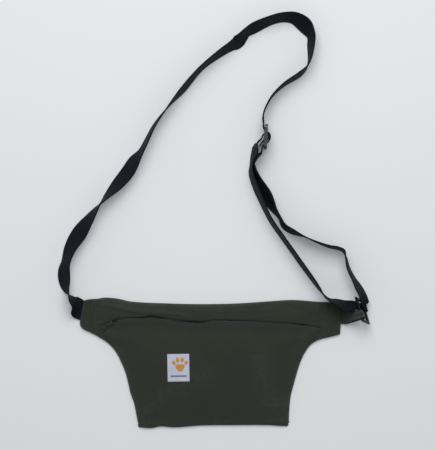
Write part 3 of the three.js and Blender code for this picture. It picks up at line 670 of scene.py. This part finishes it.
def front_panel():
    """The front below the zip: crowned, rolled over at its sewn edges, folded in at the mouth."""
    mouth = mouth_edge(-1)
    bottom, left, right, turned_edge = outline(mouth[0, 1], mouth[-1, 1])
    panel = Panel(bottom, right, mouth, left, 0.0016)
    places, v = panel.places, panel.v
    from_side = np.minimum(distance_to(places, left[::4]), distance_to(places, right[::4]))
    ramp = SIDE_RAMP + (ZIP_RAMP - SIDE_RAMP) * smoothstep((v - 0.6) / 0.35)
    shoulder = np.sin(math.pi / 2 * np.minimum(1, from_side / ramp))
    rise = ((ZIP_TOP - SEAM_TOP) * smoothstep(v / 0.8)
            + BULGE * np.sin(math.pi * np.minimum(1, v / FLAT_FROM)))
    top = SEAM_TOP + shoulder * rise
    from_turned = distance_to(places, turned_edge[::4])
    soft = np.minimum(1, from_turned / 0.010)
    folds = folds_at(places, FRONT_FOLDS)
    top += (folds + rumple(places, 3.0)) * soft
    top -= dip_at(distance_to(places, mouth[::3]), MOUTH_DEPTH, MOUTH_ROUND)
    from_seam = seam_distance(places)
    top -= dip_at(from_seam, SEAM_GROOVE, SEAM_ROUND)
    heights = SEAM_LOW + (top - SEAM_LOW) * rounded(from_turned, EDGE_ROUND)
    made = panel.build("pouch_front", heights, wear_and_highlight_at(from_turned, from_seam, folds))
    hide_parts("front_panel")
    return made


def upper_band():
    """The band between the zip and the top seam."""
    mouth = mouth_edge(1)
    top_seam = smooth_line(TOP_SEAM, 300)
    left = np.array([mouth[0], top_seam[0]])
    right = np.array([mouth[-1], top_seam[-1]])
    panel = Panel(mouth, right, top_seam, left, 0.0014)
    places, v = panel.places, panel.v
    from_seam = seam_distance(places)
    shoulder = np.sin(math.pi / 2 * np.minimum(1, from_seam / ZIP_RAMP))
    rise = (ZIP_TOP - SEAM_TOP) * np.cos(math.pi / 2 * v) + BAND_BULGE * np.sin(math.pi * v)
    top = SEAM_TOP + shoulder * rise
    folds = folds_at(places, BAND_FOLDS)
    top += folds + rumple(places, 11.0)
    top -= dip_at(distance_to(places, mouth[::3]), MOUTH_DEPTH, MOUTH_ROUND)
    top -= dip_at(from_seam, SEAM_GROOVE, SEAM_ROUND)
    from_turned = distance_to(places, top_seam[::3])
    heights = SEAM_LOW + (top - SEAM_LOW) * rounded(from_turned, EDGE_ROUND)
    made = panel.build("pouch_band", heights, wear_and_highlight_at(from_turned, from_seam, folds))
    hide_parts("upper_band")
    return made


def back_panel():
    """The back, flat on the surface and rolled up to the front at its sewn edges."""
    top_seam = smooth_line(TOP_SEAM, 300)
    bottom, left, right, turned_edge = outline(top_seam[0, 1], top_seam[-1, 1])
    panel = Panel(bottom, right, top_seam, left, 0.0025)
    from_turned = np.minimum(distance_to(panel.places, turned_edge[::4]),
                             distance_to(panel.places, top_seam[::3]))
    from_seam = seam_distance(panel.places)
    heights = dip_at(from_turned, SEAM_LOW, EDGE_ROUND) + dip_at(from_seam, SEAM_RISE, SEAM_ROUND)
    wear_and_highlight = 0.9 * np.exp(-from_turned / 0.0025)
    made = panel.build("pouch_back", heights, wear_and_highlight, flip=True)
    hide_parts("back_panel")
    return made


def wing(side, edges, opening):
    """Both layers of a wing. Its outer edge is lifted off the strap or the loop in its opening."""
    lines = {where: smooth_line(points, 60) for where, points in edges.items()}
    panel = Panel(lines["bottom"], lines["right"], lines["top"], lines["left"], 0.0012)
    places = panel.places
    from_seam = distance_to(places, lines["right" if side == "left" else "left"][::10])
    from_outer = distance_to(places, lines[side][::2])
    from_turned = np.minimum(from_outer,
                             np.minimum(distance_to(places, lines["top"][::2]),
                                        distance_to(places, lines["bottom"][::2])))
    low, high = opening
    y = places[:, 1]
    lifted = smoothstep((y - low) / 0.004 + 1) * smoothstep((high - y) / 0.004 + 1)
    lifted *= np.exp(-(from_outer / 0.012) ** 2)
    edge_low = SEAM_LOW + (WING_MOUTH - SEAM_LOW) * lifted
    folds = folds_at(places, WING_FOLDS)
    top = WING_TOP + folds + 0.6 * rumple(places, 17.0)
    top -= dip_at(from_seam, SEAM_GROOVE, SEAM_ROUND)
    heights = edge_low + (top - edge_low) * rounded(from_turned, WING_ROUND)
    # Painted highlight: the folds term lightens raised folds; the rest is worn turned edges and the
    # seam.
    wear_and_highlight = 0.8 * np.exp(-from_turned / 0.0020) + 0.5 * np.exp(-from_seam / 0.0015) + folds * 300
    front = panel.build(side + "_wing_top", heights, wear_and_highlight)
    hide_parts(side + "_wing_front")
    under = (SEAM_LOW * (1 - lifted)) * (1 - rounded(from_turned, WING_ROUND))
    back = panel.build(side + "_wing_under", under, wear_and_highlight, flip=True)
    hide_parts(side + "_wing_back")
    return [front, back]


def lining(name, node, rows, drop, surface):
    """One lining layer: a strip between two lines, hung below the canvas or lying on the back."""
    low, high = (smooth_line(line, 120) for line in rows)
    panel = Panel(low, np.array([low[-1], high[-1]]), high, np.array([low[0], high[0]]), 0.006)
    heights = np.array([surface(x, y) for x, y in panel.places]) - drop
    made = panel.build(name, heights, np.zeros(len(heights)), thick=LINING_THICK)
    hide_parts(node)
    return made


# ---- Details laid on the cloth ----
def surface_of(*pieces):
    """A way to read how high the top of some pieces is at a place."""
    depsgraph = bpy.context.evaluated_depsgraph_get()
    trees = [BVHTree.FromObject(piece, depsgraph) for piece in pieces]

    def height(x, y):
        hits = [tree.ray_cast(Vector((x, y, 0.1)), Vector((0, 0, -1))) for tree in trees]
        return max((hit[0].z for hit in hits if hit[0]), default=None)

    return height


def stitches(name, lines, surface, thread=0.00050, pitch=0.0028):
    """Rows of stitches along lines over a surface, as one piece. Each stitch dips in at its ends."""
    points, faces = [], []
    around = [(math.cos(turn), math.sin(turn)) for turn in np.arange(6) * math.pi / 3]
    for line in lines:
        count = max(1, round(length_of(line) / pitch))
        fine = even(np.asarray(line, float), 8 * count + 1)
        for k in range(count):
            run = fine[8 * k + 1:8 * k + 8]
            highs = [surface(x, y) for x, y in run]
            if None in highs:
                continue
            sunk = np.array([-0.7, -0.05, 0.2, 0.3, 0.2, -0.05, -0.7]) * thread
            centres = np.column_stack([run, np.array(highs) + sunk])
            ahead = unit(np.append(run[-1] - run[0], 0.0))
            beside = np.array([-ahead[1], ahead[0], 0.0])
            base = len(points)
            for centre in centres:
                points += [centre + thread / 2 * (c * beside + (0, 0, s)) for c, s in around]
            for ring in range(6):
                for side in range(6):
                    a = base + 6 * ring + side
                    b = base + 6 * ring + (side + 1) % 6
                    faces.append((a, a + 6, b + 6, b))
            faces.append(tuple(base + side for side in range(6)))
            faces.append(tuple(base + 41 - side for side in range(6)))
    return mesh_object(name, points, faces)


def turned(places, centre, turn):
    """Places turned about the origin and moved to a centre."""
    c, s = math.cos(turn), math.sin(turn)
    places = np.asarray(places, float)
    return np.column_stack([places[:, 0] * c - places[:, 1] * s,
                            places[:, 0] * s + places[:, 1] * c]) + centre


def label(surface):
    """The woven label: a thin patch with folded edges."""
    width, height = LABEL_SIZE
    across = shares_over(width, 22)
    up = shares_over(height, 28)
    u, v = np.meshgrid(across - 0.5, up - 0.5)
    flat = np.column_stack([u.ravel() * width, v.ravel() * height])
    places = turned(flat, LABEL_CENTRE, LABEL_TURN)
    lows = np.array([surface(x, y) for x, y in places])
    from_edge = np.minimum(width / 2 - np.abs(flat[:, 0]), height / 2 - np.abs(flat[:, 1]))
    fold = 0.00018 * np.exp(-((from_edge - 0.0012) / 0.0012) ** 2)
    rise = LABEL_LIFT * rounded(from_edge, 0.0006) + fold + 0.6 * 0.0001 * soft_noise(flat, 0.008, 5)
    points = np.column_stack([places, lows + rise])
    made = thickened(mesh_object("woven_label", points, grid_faces(*u.shape), flat), 0.0005)
    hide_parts("label")
    return made


def pad(centre, size, turn, lobing, surface):
    """One raised, embroidered pad of the paw print, with three lobes if lobing is above 0: its points
    and faces."""
    rings, steps = 6, 36
    points = []
    for ring in range(1, rings + 1):
        share = ring / rings
        angles = np.arange(steps) * 2 * math.pi / steps
        reach = (1 + lobing * np.cos(3 * (angles + math.pi / 2))) * share
        flat = np.column_stack([np.cos(angles) * reach * size[0], np.sin(angles) * reach * size[1]])
        for x, y in turned(flat, centre, turn):
            points.append((x, y, share))
    points.append((*centre, 0.0))
    lifted = []
    for x, y, share in points:
        place = turned([(x, y)], LABEL_CENTRE, LABEL_TURN)[0]
        crown = PAW_RISE * math.sqrt(max(0.0, 1 - share ** 2))
        lifted.append((*place, surface(*place) + crown - 0.00004))
    faces = []
    for ring in range(rings - 1):
        for k in range(steps):
            a, b = ring * steps + k, ring * steps + (k + 1) % steps
            faces.append((a, a + steps, b + steps, b))
    faces += [(len(points) - 1, k, (k + 1) % steps) for k in range(steps)]
    return lifted, faces


def paw_print(surface):
    """A generic paw print on the label: a three-lobed pad under four toes."""
    points, faces = [], []
    for shape in PAW_PADS:
        lifted, around = pad(*shape, surface)
        faces += [tuple(i + len(points) for i in face) for face in around]
        points += lifted
    return mesh_object("label_paw", points, faces, [p[:2] for p in points])


def label_bar(surface):
    """A plain woven bar under the paw print."""
    half_wide, half_high = BAR_HALF
    u, v = np.meshgrid(np.linspace(-half_wide, half_wide, 20), np.linspace(-half_high, half_high, 4))
    places = turned(np.column_stack([u.ravel(), v.ravel() - BAR_DROP]), LABEL_CENTRE, LABEL_TURN)
    points = [(x, y, surface(x, y) + 0.00008) for x, y in places]
    return thickened(mesh_object("label_bar", points, grid_faces(*u.shape), places), 0.0003)


def zip_tapes():
    """Both woven tapes beside the teeth."""
    ahead = np.array([math.cos(ZIP_TURN), math.sin(ZIP_TURN), 0.0])
    beside = np.array([-ahead[1], ahead[0], 0.0])
    made = []
    for side, name in ((1, "upper"), (-1, "lower")):
        middle = ZIP_ORIGIN + side * (TAPE_EDGES[0] + TAPE_EDGES[1]) / 2 * beside
        middle = middle + (0, 0, TAPE_MIDDLE)
        centres = middle + np.linspace(*TAPE_ENDS, 90)[:, None] * ahead
        width = TAPE_EDGES[1] - TAPE_EDGES[0]
        tape = Band(centres, np.tile(beside, (90, 1)), np.full(90, width)).build(
            "tape_" + name, TAPE_THICK, across=width)
        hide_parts("zip_tape_" + name)
        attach(tape, "pouch")
        made.append(tape)
    return made


# ---- Materials ----
class Finish:
    """A material being made: its shader, and short ways to add nodes to it. Places on soft pieces
    are in the weave, and places on hard ones are in the frame."""

    def __init__(self, name, colour, roughness, soft=True, **sockets):
        self.material = bpy.data.materials.new(name)
        self.material.use_nodes = True
        self.tree = self.material.node_tree
        self.shader = self.tree.nodes["Principled BSDF"]
        self.set(Base_Color=(*colour, 1), Roughness=roughness, **sockets)
        if soft:
            self.place = self.node("UVMap", uv_map="weave").outputs[0]
        else:
            self.place = self.node("TexCoord").outputs["Object"]

    def set(self, **sockets):
        """Sets values on the shader's own sockets."""
        for name, value in sockets.items():
            self.shader.inputs[name.replace("_", " ")].default_value = value

    def node(self, kind, **settings):
        made = self.tree.nodes.new("ShaderNode" + kind)
        for name, value in settings.items():
            setattr(made, name, value)
        return made

    def feed(self, socket, source):
        """Links a source to a socket, or sets it if it's a plain value."""
        if isinstance(source, bpy.types.NodeSocket):
            self.tree.links.new(source, socket)
        else:
            socket.default_value = source

    def sum(self, operation, first, second=0.0, clamp=False):
        made = self.node("Math", operation=operation, use_clamp=clamp)
        self.feed(made.inputs[0], first)
        self.feed(made.inputs[1], second)
        return made.outputs[0]

    def axes(self):
        """The place's separate coordinates."""
        made = self.node("SeparateXYZ")
        self.feed(made.inputs[0], self.place)
        return made.outputs[0], made.outputs[1]

    def waves(self, coordinate, pitch):
        """Even ridges along a coordinate, from -1 to 1."""
        return self.sum("SINE", self.sum("MULTIPLY", coordinate, 2 * math.pi / pitch))

    def noise(self, size, detail=3.0):
        """Cloudy variation from 0 to 1, with features of about that size."""
        made = self.node("TexNoise")
        self.feed(made.inputs["Vector"], self.place)
        made.inputs["Scale"].default_value = 1 / size
        made.inputs["Detail"].default_value = detail
        return made.outputs[0]

    def ramp(self, source, low, high):
        """A source stretched so that low becomes 0 and high becomes 1."""
        made = self.node("MapRange", clamp=True)
        self.feed(made.inputs[0], source)
        made.inputs[1].default_value = low
        made.inputs[2].default_value = high
        return made.outputs[0]

    def mix(self, share, first, second):
        """A colour between two, by a share."""
        made = self.node("Mix", data_type="RGBA")
        self.feed(made.inputs[0], share)
        for socket, colour in ((made.inputs[6], first), (made.inputs[7], second)):
            self.feed(socket, colour if isinstance(colour, bpy.types.NodeSocket) else (*colour, 1))
        return made.outputs[2]

    def colour(self, source):
        self.feed(self.shader.inputs["Base Color"], source)

    def roughness(self, source, low, high):
        made = self.node("MapRange")
        self.feed(made.inputs[0], source)
        made.inputs[3].default_value = low
        made.inputs[4].default_value = high
        self.feed(self.shader.inputs["Roughness"], made.outputs[0])

    def mottle(self, share, colour, tones, roughnesses):
        """A colour from darker to lighter, and its roughness, both by a share."""
        self.colour(self.mix(share, *(scaled(colour, tone) for tone in tones)))
        self.roughness(share, *roughnesses)

    def bump(self, *layers):
        """Relief from layers of (height, depth in metres), one on top of another."""
        below = None
        for height, depth in layers:
            made = self.node("Bump")
            made.inputs["Distance"].default_value = depth
            self.feed(made.inputs["Height"], height)
            if below is not None:
                self.feed(made.inputs["Normal"], below)
            below = made.outputs[0]
        self.feed(self.shader.inputs["Normal"], below)


def scaled(colour, share):
    """A colour made darker or lighter."""
    return tuple(part * share for part in colour)


def canvas_material():
    """Dark olive canvas: a plain weave, uneven dye, fine slubs, paler where it is worn at edges and
    seams, and painted highlight on raised folds.
    """
    finish = Finish("canvas", CANVAS_COLOUR, 0.9, Specular_IOR_Level=0.25, Sheen_Weight=0.12,
                    Sheen_Roughness=0.5)
    x, y = finish.axes()
    weave = finish.sum("MULTIPLY", finish.waves(x, WEAVE_PITCH), finish.waves(y, WEAVE_PITCH))
    cloudy = finish.ramp(finish.noise(0.045, 5), 0.33, 0.67)
    fine = finish.ramp(finish.noise(0.0016, 2), 0.3, 0.7)
    tone = finish.mix(cloudy, scaled(CANVAS_COLOUR, 0.90), scaled(CANVAS_COLOUR, 1.10))
    tone = finish.mix(finish.sum("MULTIPLY", fine, 0.45), tone, scaled(CANVAS_COLOUR, 1.35))
    # The paler share: worn edges and seams, plus painted highlight on raised folds.
    rubbed = finish.node("Attribute", attribute_name="wear_and_highlight").outputs["Fac"]
    patchy = finish.sum("MULTIPLY", rubbed, finish.ramp(finish.noise(0.006, 4), 0.35, 0.75))
    finish.colour(finish.mix(finish.sum("MULTIPLY", patchy, 0.6, clamp=True), tone, CANVAS_WORN_AND_LIT))
    finish.roughness(fine, 0.84, 0.96)
    finish.bump((finish.noise(0.010, 3), 0.00035), (weave, 0.00009))
    return finish.material


def webbing_material():
    """Black webbing: ribs across it, fine threads along it, and a plain selvage at each edge."""
    finish = Finish("webbing", WEBBING_COLOUR, 0.62, Specular_IOR_Level=0.06)
    across, along = finish.axes()
    ribs = finish.waves(along, RIB_PITCH)
    threads = finish.waves(across, 0.0011)
    inner = finish.ramp(finish.sum("ABSOLUTE", across), SELVAGE + 0.0006, SELVAGE - 0.0006)
    ribbed = finish.sum("MULTIPLY", ribs, inner)
    fine = finish.ramp(finish.noise(0.0025, 3), 0.3, 0.7)
    broad = finish.ramp(finish.noise(0.03, 3), 0.3, 0.7)
    # Painted shade and highlight: darker in the valleys between the ribs, lighter on their crests.
    tone = finish.mix(finish.ramp(ribbed, -1, 1), scaled(WEBBING_COLOUR, 0.62),
                      scaled(WEBBING_COLOUR, 1.35))
    tone = finish.mix(finish.sum("MULTIPLY", fine, 0.4), tone, scaled(WEBBING_COLOUR, 1.7))
    finish.colour(finish.mix(finish.sum("MULTIPLY", broad, 0.35), tone, scaled(WEBBING_COLOUR, 0.7)))
    finish.roughness(fine, 0.5, 0.75)
    finish.bump((ribbed, 0.00028), (threads, 0.00006))
    return finish.material


def lining_material():
    """Thin coated lining with a faint square weave."""
    finish = Finish("lining", LINING_COLOUR, 0.7)
    x, y = finish.axes()
    weave = finish.sum("MULTIPLY", finish.waves(x, 0.0005), finish.waves(y, 0.0005))
    cloudy = finish.ramp(finish.noise(0.03, 4), 0.3, 0.7)
    finish.mottle(cloudy, LINING_COLOUR, (0.9, 1.15), (0.6, 0.8))
    finish.bump((finish.noise(0.008, 3), 0.0004), (weave, 0.00004))
    return finish.material


def tape_material():
    """Zip tape: fine ribs along it, crossed by a close weft."""
    finish = Finish("zip_tape", TAPE_COLOUR, 0.85)
    across, along = finish.axes()
    ribs = finish.waves(across, 0.0009)
    weft = finish.waves(along, 0.0006)
    fine = finish.ramp(finish.noise(0.002, 3), 0.3, 0.7)
    finish.mottle(fine, TAPE_COLOUR, (0.75, 1.4), (0.75, 0.95))
    finish.bump((ribs, 0.00012), (weft, 0.00005))
    return finish.material


def teeth_material():
    """Moulded nylon teeth, with a slight gloss on their tops."""
    finish = Finish("zip_teeth", TEETH_COLOUR, 0.45, soft=False)
    worn = finish.ramp(finish.noise(0.004, 3), 0.35, 0.7)
    finish.mottle(worn, TEETH_COLOUR, (1.0, 1.8), (0.35, 0.55))
    finish.bump((finish.noise(0.0009, 2), 0.00004))
    return finish.material


def bronze_material():
    """Antique bronze plating, darker in patches and rubbed bright in others."""
    finish = Finish("antique_bronze", BRONZE_COLOUR, 0.4, soft=False, Metallic=0.9)
    patches = finish.ramp(finish.noise(0.0035, 4), 0.32, 0.68)
    fine = finish.noise(0.0007, 3)
    finish.mottle(patches, BRONZE_COLOUR, (0.55, 1.45), (0.5, 0.3))
    finish.bump((fine, 0.00003))
    return finish.material


def plastic_material(name, shine):
    """Black moulded acetal: a satin surface with a very fine moulded texture and light scuffs."""
    finish = Finish(name, PLASTIC_COLOUR, 0.34, soft=False, Specular_IOR_Level=shine)
    scuffs = finish.ramp(finish.noise(0.0045, 5), 0.52, 0.75)
    finish.mottle(scuffs, PLASTIC_COLOUR, (1.0, 2.0), (0.3, 0.55))
    finish.bump((finish.noise(0.0008, 3), 0.00003))
    return finish.material


def label_material():
    """Pale woven label: a satin weave, close ribs across it."""
    finish = Finish("label_weave", LABEL_COLOUR, 0.75, Sheen_Weight=0.1)
    x, y = finish.axes()
    weave = finish.sum("MULTIPLY", finish.waves(x, 0.0005), finish.waves(y, 0.00038))
    cloudy = finish.ramp(finish.noise(0.006, 4), 0.3, 0.7)
    finish.mottle(cloudy, LABEL_COLOUR, (0.92, 1.05), (0.68, 0.82))
    finish.bump((weave, 0.00005))
    return finish.material


def thread_material(name, colour):
    """Sewing thread, twisted and slightly shiny."""
    finish = Finish(name, colour, 0.55, soft=False, Sheen_Weight=0.1)
    fine = finish.ramp(finish.noise(0.0006, 2), 0.3, 0.7)
    finish.mottle(fine, colour, (0.75, 1.3), (0.45, 0.65))
    finish.bump((finish.noise(0.0003, 2), 0.00004))
    return finish.material


def embroidery_material(name, colour):
    """Close embroidery threads side by side."""
    finish = Finish(name, colour, 0.6, Sheen_Weight=0.1)
    x, y = finish.axes()
    threads = finish.waves(finish.sum("ADD", x, finish.sum("MULTIPLY", y, 0.35)), 0.0005)
    cloudy = finish.ramp(finish.noise(0.004, 3), 0.3, 0.7)
    finish.mottle(cloudy, colour, (0.88, 1.08), (0.52, 0.68))
    finish.bump((threads, 0.00006))
    return finish.material


def dress(material, *pieces):
    """Gives pieces a material."""
    for piece in pieces:
        piece.data.materials.clear()
        piece.data.materials.append(material)


def bevelled(node, width):
    """A CAD node with its hard edges eased."""
    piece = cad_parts[node]
    ease = piece.modifiers.new("eased_edges", "BEVEL")
    ease.width = width
    ease.segments = 2
    ease.limit_method = "ANGLE"
    ease.angle_limit = math.radians(35)
    ease.harden_normals = True
    return piece


# ---- Light, floor and camera ----
def make_camera():
    """Straight down, with the long side of the picture up the pouch's Y."""
    lens = SENSOR * CAMERA_HEIGHT / VIEW_HEIGHT
    data = bpy.data.cameras.new("camera")
    data.lens = lens
    data.sensor_width = SENSOR
    data.clip_start = 0.1
    data.clip_end = 20
    camera = bpy.data.objects.new("camera", data)
    camera.location = (*VIEW_CENTRE, CAMERA_HEIGHT)
    bpy.context.scene.collection.objects.link(camera)
    bpy.context.scene.camera = camera


def make_floor():
    """A plain pale floor."""
    half = 3.0
    corners = [(-half, -half, 0), (half, -half, 0), (half, half, 0), (-half, half, 0)]
    floor = mesh_object("floor", corners, [(0, 1, 2, 3)])
    floor.location = (*VIEW_CENTRE, FLOOR_DROP)
    finish = Finish("floor", FLOOR_COLOUR, 0.9, soft=False, Specular_IOR_Level=0.1,
                    Emission_Color=(*FLOOR_GLOW, 1), Emission_Strength=1.0)
    dress(finish.material, floor)


def make_light():
    """Soft light all round, a little stronger from beyond the top of the pouch."""
    world = bpy.data.worlds.new("sky")
    world.use_nodes = True
    background = world.node_tree.nodes["Background"]
    background.inputs[0].default_value = (*SKY_COLOUR, 1)
    background.inputs[1].default_value = SKY_STRENGTH
    bpy.context.scene.world = world
    data = bpy.data.lights.new("window", "AREA")
    data.energy = KEY_POWER
    data.size = KEY_SIZE
    data.color = KEY_COLOUR
    light = bpy.data.objects.new("window", data)
    light.location = KEY_PLACE
    aim = Vector((*VIEW_CENTRE, 0)) - Vector(KEY_PLACE)
    light.rotation_euler = aim.to_track_quat("-Z", "Y").to_euler()
    bpy.context.scene.collection.objects.link(light)
    bpy.context.scene.view_settings.view_transform = "Standard"


# ---- The whole object ----
make_camera()
make_floor()
make_light()

dress(webbing_material(), *make_straps())

canvas = canvas_material()
front, band, back = front_panel(), upper_band(), back_panel()
wings = wing("left", LEFT_WING, LEFT_OPENING) + wing("right", RIGHT_WING, RIGHT_OPENING)
panels = [front, band, back, *wings]
dress(canvas, fabric_loop(), *panels)

on_front = surface_of(front)
on_band = surface_of(band)
on_back = surface_of(back)
linings = [
    lining("lining_of_front", "lining_front", FRONT_LINING, LINING_DROP, on_front),
    lining("lining_of_band", "lining_upper", BAND_LINING, LINING_DROP, on_band),
    lining("lining_of_back", "lining_back", BACK_LINING, -LINING_THICK, on_back)]
dress(lining_material(), *linings)
for piece in linings:
    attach(piece, "pouch")

patch = label(on_front)
on_label = surface_of(patch)
paw, bar = paw_print(on_label), label_bar(on_label)
half_w, half_h = LABEL_SIZE[0] / 2 - 0.0011, LABEL_SIZE[1] / 2 - 0.0011
corners = [(-half_w, -half_h), (half_w, -half_h), (half_w, half_h), (-half_w, half_h)]
border = turned(corners + corners[:1], LABEL_CENTRE, LABEL_TURN)
label_sewing = stitches("label_stitches", [border[k:k + 2] for k in range(4)], on_label, 0.00032,
                        0.0021)
mouth_line = smooth_line(MOUTH, 300)
front_sewing = stitches("front_stitches", [mouth_line[4:-4] - (0, SEWING_OFFSET)], on_front)
band_sewing = stitches("band_stitches", [mouth_line[4:-4] + (0, SEWING_OFFSET)], on_band)
wing_surface = surface_of(wings[0], wings[2])
wing_sewing = stitches("wing_stitches", [[(x, low), (x, high)] for x, low, high in WING_ROWS],
                       wing_surface)
dress(label_material(), patch)
dress(embroidery_material("orange_embroidery", ORANGE), paw)
dress(embroidery_material("grey_embroidery", LABEL_GREY), bar)
dress(thread_material("label_thread", scaled(LABEL_COLOUR, 0.85)), label_sewing)
dress(thread_material("canvas_thread", THREAD_COLOUR), front_sewing, band_sewing, wing_sewing)
for piece in (back, wing_sewing, *wings):
    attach(piece, "pouch")

# The front's and the band's pieces go with the pouch, each with its own copy of its mesh.
for piece in (front, patch, paw, bar, label_sewing, front_sewing):
    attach(piece, "pouch")
    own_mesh(piece)
for piece in (band, band_sewing):
    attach(piece, "pouch")
    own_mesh(piece)

dress(tape_material(), *zip_tapes())
dress(teeth_material(), bevelled("zip_teeth_upper", 0.00025), bevelled("zip_teeth_lower", 0.00025))
dress(bronze_material(), bevelled("pull_tab", 0.00025), bevelled("slider_body", 0.0004),
      bevelled("slider_bridge", 0.0003), bevelled("zip_top_stop_upper", 0.0003),
      bevelled("zip_top_stop_lower", 0.0003), bevelled("zip_bottom_stop", 0.0003))
dress(plastic_material("satin_plastic", 0.55), bevelled("tri_glide", 0.0006))
# Painted shade: the side ring is the same plastic as the tri-glide, given less shine so it looks
# darker, as in shade.
dress(plastic_material("shaded_plastic_copy", 0.15), bevelled("side_ring", 0.0005))

bpy.context.view_layer.update()
